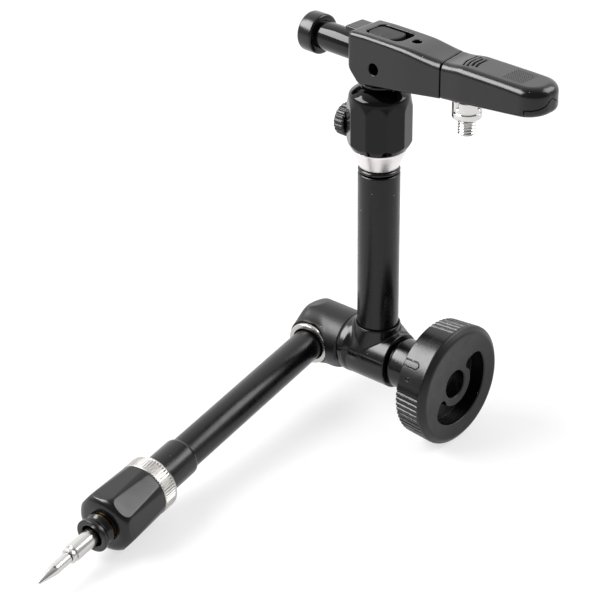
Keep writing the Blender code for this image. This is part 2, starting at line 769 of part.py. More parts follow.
def build_knob(elbow):
    """Thrust collar and the knob with its plate, nut and screws."""
    outline = [
        (BOLT_BORE_R, WEDGE_HALF + GAP),
        (COLLAR_NECK_R, WEDGE_HALF + GAP),
        (COLLAR_NECK_R, HUB_START),
        (HUB_R - EDGE, HUB_START),
        (HUB_R, HUB_START + EDGE),
        (HUB_R, PLATE_START - GAP - EDGE),
        (HUB_R - EDGE, PLATE_START - GAP),
        (BOLT_BORE_R, PLATE_START - GAP),
    ]
    turned("thrust_collar", outline, elbow, ROUND_STEPS)

    web = KNOB_START + KNOB_WEB
    face_r = KNOB_R - KNOB_BEVEL
    dish = KNOB_FACE - KNOB_DISH
    outline = [
        (NUT_R + GAP, KNOB_START, 0.0),
        (BACK_RECESS_IN, KNOB_START, 0.0),
        (BACK_RECESS_IN, KNOB_START + BACK_RECESS, 0.0),
        (BACK_RECESS_OUT, KNOB_START + BACK_RECESS, 0.0),
        (BACK_RECESS_OUT, KNOB_START, 0.0),
        (KNOB_BACK_R - EDGE, KNOB_START, 1.0),
        (KNOB_BACK_R, KNOB_START + EDGE, 1.0),
        (KNOB_R, KNOB_RIM - EDGE, 1.0),
        (KNOB_R - EDGE, KNOB_RIM + EDGE, 0.0),
        (face_r + EDGE, KNOB_FACE - EDGE / 2, 0.0),
        (face_r, KNOB_FACE, 0.0),
        (KNOB_HOLE_R + EDGE, dish, 0.0),
        (KNOB_HOLE_R, dish - EDGE, 0.0),
        (KNOB_HOLE_R, web, 0.0),
        (NUT_R + GAP, web, 0.0),
    ]
    knob = turned("knob", outline, elbow, KNOB_STEPS, rib_dips())
    pocket_floor = KNOB_FACE - POCKET_DEPTH
    inner = POCKET_MID_R - POCKET_HALF
    outer = POCKET_MID_R + POCKET_HALF
    crescent = sector("knob_pocket", inner, outer, POCKET_FROM, POCKET_TO, pocket_floor, KNOB_FACE + EDGE, elbow)
    cut(knob, crescent)
    index_frame = frame("index_frame", elbow, rotation=(0.0, 0.0, INDEX_ANGLE))
    start = KNOB_START + 2 * EDGE
    low = (KNOB_BACK_R - INDEX_SINK, -INDEX_HALF, start)
    high = (KNOB_BACK_R + INDEX_RISE, INDEX_HALF, start + INDEX_LENGTH)
    add(knob, block("index_bar", low, high, index_frame))

    plate_end = PLATE_START + PLATE_LENGTH
    back = tube("knob_plate", PLATE_R, BOLT_BORE_R, PLATE_START, plate_end, elbow)
    nut_end = KNOB_START + KNOB_WEB
    tube("knob_nut", NUT_R, BOLT_BORE_R, KNOB_START, nut_end, elbow)
    seat = pocket_floor - SCREW_HEAD - GAP
    for mark, angle in zip(("a", "b"), SCREW_ANGLES):
        spot = (SCREW_RING_R * math.cos(angle), SCREW_RING_R * math.sin(angle), 0.0)
        spindle = frame("screw_frame_" + mark, elbow, spot)
        cut(knob, rod("screw_pocket_" + mark, SCREW_POCKET_R, seat, KNOB_FACE + EDGE, spindle))
        cut(knob, rod("screw_way_" + mark, SCREW_R + GAP, KNOB_START - EDGE, seat + EDGE, spindle))
        cut(back, rod("plate_way_" + mark, SCREW_R + GAP, PLATE_START - EDGE, plate_end + EDGE, spindle))
        outline = [
            (0.0, PLATE_START + GAP),
            (SCREW_R, PLATE_START + GAP),
            (SCREW_R, seat + GAP),
            (SCREW_HEAD_R, seat + GAP),
            (SCREW_HEAD_R, seat + GAP + SCREW_HEAD - EDGE),
            (SCREW_HEAD_R - EDGE, seat + GAP + SCREW_HEAD),
            (0.0, seat + GAP + SCREW_HEAD),
        ]
        screw = turned("knob_screw_" + mark, outline, spindle, SMALL_STEPS)
        socket_floor = seat + GAP + SCREW_HEAD / 2
        cut(screw, rod("screw_socket_" + mark, SCREW_R, socket_floor, KNOB_FACE, spindle, HEXAGON))


def build_lower(lower):
    """Lower tube, its end fittings and the probe."""
    tube("lower_tube", LOWER_TUBE_R, LOWER_BORE_R, LOWER_SOCKET + GAP, LOWER_TUBE_END, lower)
    start = BOSS_END + GAP
    tube("lower_ferrule", FERRULE_R, LOWER_TUBE_R + GAP, start, start + FERRULE_LENGTH, lower, FINE_STEPS)
    tube("lower_sleeve", SLEEVE_R, LOWER_TUBE_R + GAP, SLEEVE_START, LOCK_END, lower)

    knurl = [KNURL_DEPTH * (index % 2) for index in range(LOCK_STEPS)]
    inner = SLEEVE_R + GAP
    band = LOCK_START + LOCK_BEVEL
    outline = [
        (inner, LOCK_START, 0.0),
        (SLEEVE_R + 4 * GAP, LOCK_START, 0.0),
        (LOCK_R - EDGE, band - EDGE, 0.0),
        (LOCK_R, band, 1.0),
        (LOCK_R, LOCK_END - EDGE, 1.0),
        (LOCK_R - EDGE, LOCK_END, 0.0),
        (inner, LOCK_END, 0.0),
    ]
    turned("lock_ring", outline, lower, LOCK_STEPS, knurl)

    cavity = LOWER_TUBE_R + GAP
    cavity_end = BALL_RING_START + BALL_RING + GAP
    outline = [(cavity, CHUCK_START), (CHUCK_BACK_R - EDGE, CHUCK_START), (CHUCK_BACK_R, CHUCK_START + EDGE)]
    outline += oval(CHUCK_LIP_R, CHUCK_SHOULDER, CHUCK_R - CHUCK_LIP_R, CHUCK_END - CHUCK_SHOULDER, ARC_STEPS)
    outline += [(MOUTH_R, CHUCK_END), (MOUTH_R, cavity_end), (cavity, cavity_end)]
    chuck = turned("chuck", outline, lower, FINE_STEPS)
    roll = CHUCK_ROLL + math.pi / OCTAGON
    outline = [
        (0.0, CHUCK_START - EDGE),
        (CHUCK_BACK_FLAT_R * OCTAGON_CORNER, CHUCK_START - EDGE),
        (CHUCK_FLAT_R * OCTAGON_CORNER, CHUCK_SHOULDER),
        (CHUCK_FLAT_R * OCTAGON_CORNER, CHUCK_END + EDGE),
        (0.0, CHUCK_END + EDGE),
    ]
    facets = turned("chuck_facets", outline, lower, OCTAGON)
    facets.rotation_euler = (0.0, 0.0, roll)
    keep(chuck, facets)

    neck_r = MOUTH_R - GAP
    flange = NOSE_END - NOSE_FLANGE
    outline = [
        (NOSE_BORE_R, cavity_end + GAP),
        (neck_r, cavity_end + GAP),
        (neck_r, flange - EDGE),
        (NOSE_R - EDGE, flange),
        (NOSE_R, flange + EDGE),
        (NOSE_R, NOSE_END - EDGE),
        (NOSE_R - EDGE, NOSE_END),
        (NOSE_BORE_R, NOSE_END),
    ]
    turned("nose_bush", outline, lower, ROUND_STEPS)
    shim_start = CHUCK_END + GAP
    outline = [(MOUTH_R, shim_start), (CHUCK_LIP_R - EDGE, shim_start)]
    outline += [(CHUCK_LIP_R - EDGE, shim_start + SHIM), (MOUTH_R, shim_start + SHIM)]
    turned("nose_shim", outline, lower, ROUND_STEPS)
    ring_end = BALL_RING_START + BALL_RING
    tube("ball_ring", LOWER_TUBE_R, NOSE_BORE_R + EDGE, BALL_RING_START, ring_end, lower)
    seat_start = LOWER_TUBE_END + GAP
    seat_bore = PROBE_BALL_R - 2 * GAP
    tube("ball_seat", LOWER_TUBE_R, seat_bore, seat_start, seat_start + SEAT_LENGTH, lower)

    pivot = frame("probe_pivot", lower, (0.0, 0.0, PROBE_BALL_AT))
    probe = frame("probe_frame", pivot, (0.0, 0.0, -PROBE_BALL_AT))
    joint = math.asin(SHANK_R / PROBE_BALL_R)
    ball = arc(0.0, PROBE_BALL_AT, PROBE_BALL_R, -QUARTER, QUARTER - joint, BALL_STEPS)
    stud_bore = TIP_STUD_R + GAP
    bore_floor = SHANK_END - TIP_STUD - GAP
    outline = [(0.0, ball[0][1])] + ball[1:]
    outline += [
        (SHANK_R, SHANK_END - EDGE),
        (SHANK_R - EDGE, SHANK_END),
        (stud_bore, SHANK_END),
        (stud_bore, bore_floor),
        (0.0, bore_floor),
    ]
    turned("probe_shank", outline, probe, ROUND_STEPS)
    tip_start = SHANK_END + GAP
    outline = [
        (0.0, SHANK_END - TIP_STUD),
        (TIP_STUD_R, SHANK_END - TIP_STUD),
        (TIP_STUD_R, tip_start),
        (TIP_R, tip_start),
        (TIP_R, TIP_TAPER),
        (TIP_POINT_R, TIP_END - TIP_POINT_R),
        (TIP_POINT_R / 2, TIP_END),
        (0.0, TIP_END),
    ]
    turned("probe_tip", outline, probe, ROUND_STEPS)
    pad_end = PROBE_BALL_AT - PROBE_BALL_R - 2 * GAP
    rod_set("lower", pad_end - ROD_PAD, pad_end, LOWER_BORE_R, LOWER_BORE_R - GAP, lower)


def build_upper(root):
    """Upper tube, neck ring, collar and thumb screw."""
    spigot_end = CAVITY_FLOOR - GAP
    step = UPPER_TUBE_END - 2 * EDGE
    outline = [
        (UPPER_BORE_R, UPPER_SOCKET + GAP),
        (UPPER_TUBE_R, UPPER_SOCKET + GAP),
        (UPPER_TUBE_R, step - EDGE),
        (UPPER_TUBE_R - EDGE / 2, step + EDGE / 2),
        (UPPER_TUBE_R - 2 * EDGE, UPPER_TUBE_END),
        (SPIGOT_R, UPPER_TUBE_END),
        (SPIGOT_R, spigot_end),
        (SPIGOT_BORE_R, spigot_end),
        (SPIGOT_BORE_R, step - 2 * EDGE),
        (UPPER_BORE_R, step - 2 * EDGE),
    ]
    turned("upper_tube", outline, root, FINE_STEPS)
    wall = SPIGOT_R + GAP
    bead = (NECK_START - UPPER_TUBE_END) / 2 - GAP
    bead_at = (NECK_START + UPPER_TUBE_END) / 2
    upper = oval(wall, bead_at, UPPER_TUBE_R - wall, bead, ARC_STEPS)
    under = [(radius, 2 * bead_at - height) for radius, height in reversed(upper)]
    turned("upper_seal", under + upper[1:], root, ROUND_STEPS)
    neck_end = NECK_START + NECK_LENGTH
    outline = [
        (wall, NECK_START),
        (NECK_LOW_R, NECK_START),
        (NECK_TOP_R, neck_end - EDGE),
        (NECK_TOP_R, neck_end),
        (wall, neck_end),
    ]
    turned("neck_ring", outline, root, FINE_STEPS)

    lip = COLLAR_R - COLLAR_LIP_R
    outline = [(wall, COLLAR_START), (COLLAR_R - 2 * EDGE, COLLAR_START)]
    outline += [(COLLAR_R, COLLAR_FACET)]
    outline += oval(COLLAR_LIP_R, COLLAR_DOME, lip, COLLAR_END - COLLAR_DOME, ARC_STEPS)
    outline += [
        (STEM_BORE_R, COLLAR_END),
        (STEM_BORE_R, CAVITY_TOP + BALL_CAVITY_R - STEM_BORE_R),
        (BALL_CAVITY_R, CAVITY_TOP),
        (BALL_CAVITY_R, CAVITY_FLOOR),
        (wall, CAVITY_FLOOR),
    ]
    collar = turned("collar", outline, root, FINE_STEPS)
    roll = COLLAR_ROLL + math.pi / OCTAGON
    flat = COLLAR_FLAT_R * OCTAGON_CORNER
    full = COLLAR_R * OCTAGON_CORNER
    flat_end = COLLAR_END - COLLAR_FLAT_DROP
    outline = [
        (0.0, COLLAR_START - EDGE),
        (flat, COLLAR_START - EDGE),
        (flat, flat_end),
        (full, flat_end + COLLAR_RUN_OUT),
        (full, COLLAR_END + EDGE),
        (0.0, COLLAR_END + EDGE),
    ]
    facets = turned("collar_facets", outline, root, OCTAGON)
    facets.rotation_euler = (0.0, 0.0, roll)
    keep(collar, facets)

    thumb = frame("thumb_frame", root, (0.0, 0.0, THUMB_AT), (0.0, -QUARTER, 0.0))
    cut(collar, rod("thumb_way", THUMB_STEM_R + GAP, HEAD_BALL_R, THUMB_START, thumb))
    pad_start = HEAD_BALL_R + GAP
    pad_end = pad_start + THUMB_PAD
    rod("thumb_pad", THUMB_PAD_R, pad_start, pad_end, thumb)
    stem_end = THUMB_START + THUMB_LENGTH - 2 * EDGE
    rod("thumb_stem", THUMB_STEM_R, pad_end + GAP, stem_end, thumb)
    dips = [THUMB_FLUTE if index % 4 == 0 else 0.0 for index in range(THUMB_STEPS)]
    thumb_end = THUMB_START + THUMB_LENGTH
    stem_bore = THUMB_STEM_R + GAP
    outline = [
        (stem_bore, THUMB_START, 0.0),
        (THUMB_R - 2 * EDGE, THUMB_START, 0.0),
        (THUMB_R, THUMB_START + EDGE, 1.0),
        (THUMB_R, thumb_end - 2 * EDGE, 1.0),
        (THUMB_R - 2 * EDGE, thumb_end, 1.0),
        (0.0, thumb_end, 0.0),
    ]
    outline = [(0.0, stem_end + GAP, 0.0), (stem_bore, stem_end + GAP, 0.0)] + outline
    turned("thumb_knob", outline, thumb, THUMB_STEPS, dips)

    seat_r = BALL_CAVITY_R - GAP
    seat_start = CAVITY_FLOOR + GAP
    tube("head_seat", seat_r, seat_r - SEAT_WALL, seat_start, seat_start + SEAT_HEIGHT, root)
    pad_end = HEAD_BALL_AT - HEAD_BALL_R - GAP
    rod_set("upper", pad_end - 2 * ROD_PAD, pad_end, UPPER_BORE_R, SPIGOT_BORE_R - GAP, root)


def build_stem(pan):
    """The ball and the tongue that carry the head."""
    joint = math.asin(STEM_R / HEAD_BALL_R)
    ball = arc(0.0, -HEAD_BALL_DEPTH, HEAD_BALL_R, -QUARTER, QUARTER - joint, BALL_STEPS)
    outline = [(0.0, ball[0][1])] + ball[1:]
    outline += [(STEM_R, 0.0), (STEM_PIN_R, 0.0), (STEM_PIN_R, STEM_PIN), (0.0, STEM_PIN)]
    turned("head_ball", outline, pan, ROUND_STEPS)

    pivot_at = PIVOT_AT + HEAD_SET
    eye = arc(pivot_at, PIVOT_Z, TONGUE_EYE_R, 0.0, math.pi, BALL_STEPS)
    top = TONGUE_BASE + TONGUE_FLANGE
    shape = [(TONGUE_RIGHT, TONGUE_BASE + EDGE)] + eye
    shape += [(TONGUE_LEFT, TONGUE_BASE + TONGUE_SHOULDER), (TONGUE_LEFT, TONGUE_BASE + EDGE)]
    outline = [(along, -TONGUE_HALF, up) for along, up in shape]
    blade = extruded("tongue_blade", outline, (0.0, 2 * TONGUE_HALF, 0.0), pan)
    tongue = rod("head_tongue", TONGUE_FLANGE_R, TONGUE_BASE, top, pan, ROUND_STEPS)
    add(tongue, blade)
    eye = frame("eye_frame", pan, (pivot_at, 0.0, PIVOT_Z), (-QUARTER, 0.0, 0.0))
    cut(tongue, rod("stem_way", STEM_PIN_R + GAP, 0.0, STEM_PIN + GAP, pan))
    cut(tongue, rod("tongue_way", PIVOT_R + GAP, -HEAD_HALF, HEAD_HALF, eye))


def build_head(head):
    """The head casting, its latch and its spigot."""
    waist_mid = (WAIST_FROM + HEAD_SEAM) / 2
    rise = (WAIST_LOW - HEAD_LUG_Z) / (HEAD_SEAM - HEAD_LUG)
    sections = [
        (HEAD_LEFT, HEAD_HALF - EDGE, HEAD_LEFT_Z, HEAD_LEFT_TOP - EDGE, TOP_ROUND, LOW_ROUND),
        (HEAD_LEFT + EDGE, HEAD_HALF, HEAD_LEFT_Z - EDGE, HEAD_LEFT_TOP, TOP_ROUND, LOW_ROUND),
        (HEAD_LUG, HEAD_HALF, HEAD_LUG_Z, HEAD_TOP, TOP_ROUND, LOW_ROUND),
        (WAIST_FROM, HEAD_HALF, HEAD_LUG_Z + rise * (WAIST_FROM - HEAD_LUG), HEAD_TOP, TOP_ROUND, LOW_ROUND),
        (
            waist_mid,
            (HEAD_HALF + HEAD_WAIST_HALF) / 2,
            HEAD_LUG_Z + rise * (waist_mid - HEAD_LUG),
            HEAD_TOP - (HEAD_TOP - WAIST_TOP) / 3,
            TOP_ROUND,
            LOW_ROUND,
        ),
        (HEAD_SEAM - EDGE, HEAD_WAIST_HALF, WAIST_LOW, WAIST_TOP, TOP_ROUND, LOW_ROUND),
        (HEAD_SEAM, HEAD_WAIST_HALF - EDGE, WAIST_LOW + EDGE, WAIST_TOP - EDGE, TOP_ROUND, LOW_ROUND),
    ]
    body = loft("head_body", sections, head)
    ledge_low = (LEDGE_LEFT, LEDGE_FRONT, SPIGOT_Z + SPIGOT_SHANK_R + 2 * GAP)
    ledge_high = (LEDGE_RIGHT, LEDGE_BACK, HEAD_LEFT_TOP - EDGE)
    add(body, block("head_ledge", ledge_low, ledge_high, head))
    slot_half = TONGUE_HALF + GAP
    slot_top = PIVOT_Z + TONGUE_EYE_R + 2 * GAP
    slot = block("tongue_slot", (SLOT_LEFT, -slot_half, 0.0), (SLOT_RIGHT, slot_half, slot_top), head)
    pivot = frame("pivot_frame", head, (PIVOT_AT, 0.0, PIVOT_Z), (-QUARTER, 0.0, 0.0))
    pin_way = rod("pin_way", PIVOT_R + GAP, -2 * HEAD_HALF, 2 * HEAD_HALF, pivot)
    latch_top = HEAD_TOP + EDGE
    pocket = pad(
        "latch_pocket",
        LATCH_AT,
        LATCH_POCKET_HALF,
        LATCH_POCKET_SIDE,
        LATCH_POCKET_ROUND,
        LATCH_POCKET_FLOOR,
        latch_top,
        head,
    )
    spot = frame("top_hole_frame", head, (TOP_HOLE_AT, 0.0, 0.0))
    top_hole = rod("top_hole", TOP_HOLE_R, HEAD_TOP - TOP_HOLE, latch_top, spot)
    left = frame("spigot_frame", head, (0.0, 0.0, SPIGOT_Z), (0.0, -QUARTER, 0.0))
    tenon_way = rod("tenon_way", TENON_R + GAP, TENON_END - GAP, -LEDGE_LEFT, left)
    grub = frame("grub_frame", head, (-TENON_GROOVE_AT, 0.0, SPIGOT_Z), (-QUARTER, 0.0, 0.0))
    grub_way = rod("grub_way", GRUB_R + GAP, TENON_GROOVE_R, 2 * HEAD_HALF, grub)
    low = (TANG_FROM - GAP, -TANG_HALF - GAP, TANG_LOW - GAP)
    high = (HEAD_SEAM + EDGE, TANG_HALF + GAP, TANG_TOP + GAP)
    mortise = block("head_mortise", low, high, head)
    cut(body, slot, pin_way, pocket, top_hole, tenon_way, grub_way, mortise)

    rod("pivot_pin", PIVOT_R, PIVOT_INSET - HEAD_HALF, HEAD_HALF - PIVOT_INSET, pivot)
    top = HEAD_TOP - LATCH_DROP
    under = top - LATCH_LENGTH
    middle = LATCH_LEFT + LATCH_HALF
    pad("latch_button", middle, LATCH_HALF, LATCH_SIDE, LATCH_ROUND, under, top, head)
    nest = frame("latch_frame", head, (middle, 0.0, 0.0))
    coil("latch_spring", LATCH_SPRING_R, GAP, LATCH_POCKET_FLOOR + GAP, under - GAP, 2, nest)

    shank_start = GAP - HEAD_LEFT
    outline = [
        (0.0, TENON_END),
        (TENON_R, TENON_END),
        (TENON_R, TENON_GROOVE_AT - TENON_GROOVE_HALF),
        (TENON_GROOVE_R, TENON_GROOVE_AT - TENON_GROOVE_HALF),
        (TENON_GROOVE_R, TENON_GROOVE_AT + TENON_GROOVE_HALF),
        (TENON_R, TENON_GROOVE_AT + TENON_GROOVE_HALF),
        (TENON_R, shank_start),
        (SPIGOT_SHANK_R - EDGE, shank_start),
        (SPIGOT_SHANK_R, shank_start + EDGE),
        (SPIGOT_SHANK_R, SPIGOT_FLANGE_FROM),
        (SPIGOT_FLANGE_R - 2 * EDGE, SPIGOT_FLANGE_FROM),
        (SPIGOT_FLANGE_R, SPIGOT_FLANGE_FROM + 2 * EDGE),
        (SPIGOT_FLANGE_R, SPIGOT_END - 2 * EDGE),
        (SPIGOT_FLANGE_R - 2 * EDGE, SPIGOT_END),
        (0.0, SPIGOT_END),
    ]
    turned("spigot", outline, left, ROUND_STEPS)
    neck = TENON_R + GAP
    outline = [
        (0.0, TENON_GROOVE_R + GAP),
        (GRUB_TIP_R, TENON_GROOVE_R + GAP),
        (GRUB_TIP_R, neck),
        (GRUB_R, neck + EDGE),
        (GRUB_R, GRUB_END),
        (0.0, GRUB_END),
    ]
    screw = turned("grub_screw", outline, grub, SMALL_STEPS)
    cut(screw, rod("grub_socket", GRUB_R / 2, GRUB_END - GRUB_R, GRUB_END + EDGE, grub, HEXAGON))


def grip_sections():
    """Sections of the grip from the seam to its round end."""
    span = GRIP_END - GRIP_ROUND_FROM
    rise = (GRIP_LOW_END - WAIST_LOW) / (GRIP_ROUND_FROM - GRIP_START)
    shoulder_low = WAIST_LOW + rise * (GRIP_SHOULDER_AT - GRIP_START)
    sections = [
        (GRIP_START, HEAD_WAIST_HALF - EDGE, WAIST_LOW + EDGE, WAIST_TOP - EDGE, TOP_ROUND, LOW_ROUND),
        (GRIP_START + EDGE, HEAD_WAIST_HALF, WAIST_LOW, WAIST_TOP, TOP_ROUND, LOW_ROUND),
        (GRIP_SHOULDER_AT, GRIP_HALF, shoulder_low, GRIP_TOP - EDGE, TOP_ROUND, LOW_ROUND),
    ]
    middle = (GRIP_LOW_END + GRIP_TOP) / 2
    tall = (GRIP_TOP - GRIP_LOW_END) / 2
    for index in range(ARC_STEPS):
        angle = QUARTER * index / ARC_STEPS
        along = GRIP_ROUND_FROM + span * math.sin(angle)
        size = math.cos(angle) ** 0.5
        half = GRIP_HALF * (1 + size) / 2
        high = middle + tall * (1 + 2 * size) / 3
        low = middle - tall * (1 + 2 * size) / 3
        sections.append((along, half * size, low, high, TOP_ROUND * size, LOW_ROUND * size))
    return sections


def build_grip(head):
    """The grip in two mouldings on a steel tang, with the stud under it."""
    shell = loft("grip_shell", grip_sections(), head)
    cover = loft("grip_cover", grip_sections(), head)
    split = frame("split_frame", head, (COVER_FROM, 0.0, COVER_FROM_Z), (0.0, -COVER_ANGLE, 0.0))
    low = (-REACH, -REACH, -REACH)
    cut(shell, block("cover_space", low, (REACH, REACH, GAP), split))
    keep(cover, block("cover_form", low, (REACH, REACH, 0.0), split))
    low = (0.0, -TANG_HALF - GAP, TANG_LOW - GAP)
    high = (TANG_TO + GAP, TANG_HALF + GAP, TANG_TOP + GAP)
    cut(shell, block("grip_mortise", low, high, head))
    stud = frame("stud_frame", head, (STUD_AT, 0.0, 0.0))
    cut(shell, rod("stud_way", STUD_R + GAP, 0.0, TANG_LOW, stud))
    for index in range(GROOVE_COUNT):
        along = GROOVE_FROM + GROOVE_PITCH * index
        low = (along - GROOVE_HALF, -GROOVE_SIDE, GRIP_TOP - EDGE - GROOVE_DEPTH)
        high = (along + GROOVE_HALF, GROOVE_SIDE, GRIP_TOP + EDGE)
        cut(shell, block("grip_groove_" + str(index), low, high, head))
    tang = block("grip_tang", (TANG_FROM, -TANG_HALF, TANG_LOW), (TANG_TO, TANG_HALF, TANG_TOP), head)
    cut(tang, rod("tang_way", STUD_R + GAP, TANG_LOW - EDGE, STUD_TOP + GAP, stud))

    outline = [(0.0, STUD_LOW), (STUD_R - STUD_THREAD - EDGE, STUD_LOW)]
    for index in range(STUD_TURNS):
        base = STUD_LOW + EDGE + STUD_PITCH * index
        outline += [(STUD_R - STUD_THREAD, base), (STUD_R, base + STUD_PITCH / 2)]
    plain = STUD_LOW + EDGE + STUD_PITCH * STUD_TURNS
    outline += [(STUD_R - STUD_THREAD, plain), (STUD_R, plain + EDGE), (STUD_R, STUD_TOP), (0.0, STUD_TOP)]
    turned("accessory_stud", outline, stud, SMALL_STEPS)
    bore = STUD_R + GAP
    ring_top = NUT_COLLAR_LOW + NUT_RING
    outline = [
        (bore, NUT_COLLAR_LOW),
        (NUT_COLLAR_R - 2 * EDGE, NUT_COLLAR_LOW),
        (NUT_COLLAR_R, NUT_COLLAR_LOW + EDGE),
        (NUT_COLLAR_R, ring_top),
        (NUT_COLLAR_R - NUT_GROOVE, ring_top),
        (NUT_COLLAR_R - NUT_GROOVE, ring_top + NUT_GROOVE),
        (NUT_COLLAR_R, ring_top + NUT_GROOVE),
        (NUT_COLLAR_R, NUT_COLLAR_TOP - EDGE),
        (NUT_COLLAR_R - EDGE, NUT_COLLAR_TOP),
        (bore, NUT_COLLAR_TOP),
    ]
    nut = turned("stud_collar", outline, stud, ROUND_STEPS)
    slot_from = NUT_COLLAR_TOP - NUT_SLOT
    slot_to = NUT_COLLAR_TOP + EDGE
    across = 2 * NUT_COLLAR_R
    cut(nut, block("slot_a", (-across, -NUT_SLOT_HALF, slot_from), (across, NUT_SLOT_HALF, slot_to), stud))
    cut(nut, block("slot_b", (-NUT_SLOT_HALF, -across, slot_from), (NUT_SLOT_HALF, across, slot_to), stud))


def paint():
    """Give every piece the material of its finish."""
    for name, (colour, roughness, metallic) in FINISHES.items():
        finish = bpy.data.materials.new(name)
        finish.use_nodes = True
        shader = finish.node_tree.nodes["Principled BSDF"]
        shader.inputs["Base Color"].default_value = (*colour, 1.0)
        shader.inputs["Roughness"].default_value = roughness
        shader.inputs["Metallic"].default_value = metallic
        for piece in FINISHED[name]:
            bpy.data.objects[piece].data.materials.append(finish)


def settle(root):
    """Move the whole arm so its lowest point is at Z = 0 and its outline is centred on the origin."""
    bpy.context.view_layer.update()
    graph = bpy.context.evaluated_depsgraph_get()
    low = Vector((math.inf, math.inf, math.inf))
    high = -low
    for thing in bpy.context.scene.objects:
        if thing.type != "MESH" or thing.hide_render:
            continue
        shape = thing.evaluated_get(graph)
        for vertex in shape.data.vertices:
            place = shape.matrix_world @ vertex.co
            low = Vector(map(min, low, place))
            high = Vector(map(max, high, place))
    root.location = (-(low.x + high.x) / 2, -(low.y + high.y) / 2, -low.z)


def main():
    for thing in list(bpy.data.objects):
        bpy.data.objects.remove(thing, do_unlink=True)
    root = frame("arm_frame", None)
    elbow = frame("elbow_frame", root, rotation=(0.0, QUARTER, 0.0))
    lower = frame("lower_frame", root, (-ARM_OFFSET, 0.0, 0.0), (QUARTER + ARM_SLOPE, 0.0, ARM_SKEW))
    pan = frame("pan_frame", root, (0.0, 0.0, COLLAR_END), (0.0, 0.0, HEAD_PAN))
    tilt = frame("tilt_frame", pan, (PIVOT_AT + HEAD_SET, 0.0, PIVOT_Z))
    head = frame("head_frame", tilt, (-PIVOT_AT, 0.0, -PIVOT_Z))
    build_elbow(elbow, lower, root)
    build_knob(elbow)
    build_lower(lower)
    build_upper(root)
    build_stem(pan)
    build_head(head)
    build_grip(head)
    paint()
    settle(root)


main()
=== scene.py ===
"""The looks of a black articulated friction arm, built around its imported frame.

Lengths below are in millimetres in each piece's own axes; MM turns them into metres.
"""

import json
from math import asin, atan2, ceil, cos, dist, pi, radians, sin

import bmesh
import bpy
import numpy as np
from mathutils import Matrix, Vector


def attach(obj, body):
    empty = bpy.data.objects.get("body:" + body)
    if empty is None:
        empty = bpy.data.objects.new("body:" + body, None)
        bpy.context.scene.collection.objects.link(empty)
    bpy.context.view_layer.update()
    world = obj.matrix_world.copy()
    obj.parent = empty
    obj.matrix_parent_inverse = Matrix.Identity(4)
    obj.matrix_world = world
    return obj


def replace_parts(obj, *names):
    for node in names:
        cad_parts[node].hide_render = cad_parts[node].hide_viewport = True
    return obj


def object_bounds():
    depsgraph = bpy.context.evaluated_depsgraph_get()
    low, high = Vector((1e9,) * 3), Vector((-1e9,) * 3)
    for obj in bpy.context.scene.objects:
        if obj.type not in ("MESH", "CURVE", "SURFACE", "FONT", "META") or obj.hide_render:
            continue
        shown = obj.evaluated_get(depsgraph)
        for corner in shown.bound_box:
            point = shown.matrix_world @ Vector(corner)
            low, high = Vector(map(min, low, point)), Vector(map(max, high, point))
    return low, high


MM = 0.001
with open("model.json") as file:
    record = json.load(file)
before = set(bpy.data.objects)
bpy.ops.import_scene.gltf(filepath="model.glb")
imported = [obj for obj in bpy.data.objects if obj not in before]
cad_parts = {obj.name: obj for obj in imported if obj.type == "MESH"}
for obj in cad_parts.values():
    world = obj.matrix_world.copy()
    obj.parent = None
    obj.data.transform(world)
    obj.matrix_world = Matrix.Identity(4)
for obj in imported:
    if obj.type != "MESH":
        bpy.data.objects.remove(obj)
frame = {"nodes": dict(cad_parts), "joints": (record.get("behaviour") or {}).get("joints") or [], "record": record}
cad_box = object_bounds()
joints = {joint["name"]: joint for joint in frame["joints"]}
slot_of = {entry["node"]: entry["material_slot"] for entry in frame["record"]["subparts"]}
body_of = {node: body for body, nodes in frame["record"]["behaviour"]["bodies"].items() for node in nodes}

# Clearance, the usual and the fine round of an edge, and how far a cut runs past a piece
GAP = 0.3
SOFT = 0.5
FINE = 0.3
PAST = 9.0
# Steps round a turned piece and round a corner, and a length too short to count
ROUND_STEPS = 96
CORNER_STEPS = 4
TINY = 1e-4
FULL_TURN = 2 * pi
UP = Vector((0, 0, 1))


# Axes of the sub-assemblies, read from the joints


def axes_at(origin, along, side):
    """A frame whose Z runs along a joint axis and whose X is nearest to side."""
    z = Vector(along).normalized()
    x = (Vector(side) - z * Vector(side).dot(z)).normalized()
    spin = Matrix((x, z.cross(x), z)).transposed()
    return Matrix.Translation(Vector(origin)) @ spin.to_4x4()


def joint_axes(name, side):
    """A frame at a joint, along its axis."""
    return axes_at(joints[name]["pos_m"], joints[name]["axis"], side)


elbow_at = Vector(joints["elbow_swing"]["pos_m"])
across = Vector(joints["head_tilt"]["axis"])
head_along = across.cross(UP)
ELBOW = axes_at(elbow_at, (1, 0, 0), -UP)
UPPER = axes_at(elbow_at, UP, (1, 0, 0))
BALL = joint_axes("probe_turn", joints["probe_tilt"]["axis"])
SPIGOT = joint_axes("spigot_turn", UP)
THUMB = joint_axes("thumb_turn", UP)
STUD = joint_axes("stud_collar_turn", head_along)
lower_along = BALL.to_3x3().col[2]
# Place of the tilt pin in the head's own axes, along and up
PIN_X, PIN_Z = 8.9, 14.4
HEAD = axes_at(Vector(joints["head_tilt"]["pos_m"]) - (head_along * PIN_X + UP * PIN_Z) * MM, UP, head_along)
# Slant of the joint between head and grip, seen from above
SEAM_SKEW = 0.16
# Direction from the part to the camera
AZIMUTH, ELEVATION = radians(41.7), radians(28.6)
level_view = Vector((sin(AZIMUTH), -cos(AZIMUTH), 0.0))
VIEW = level_view * cos(ELEVATION) + UP * sin(ELEVATION)


# Sizes, read from the nodes


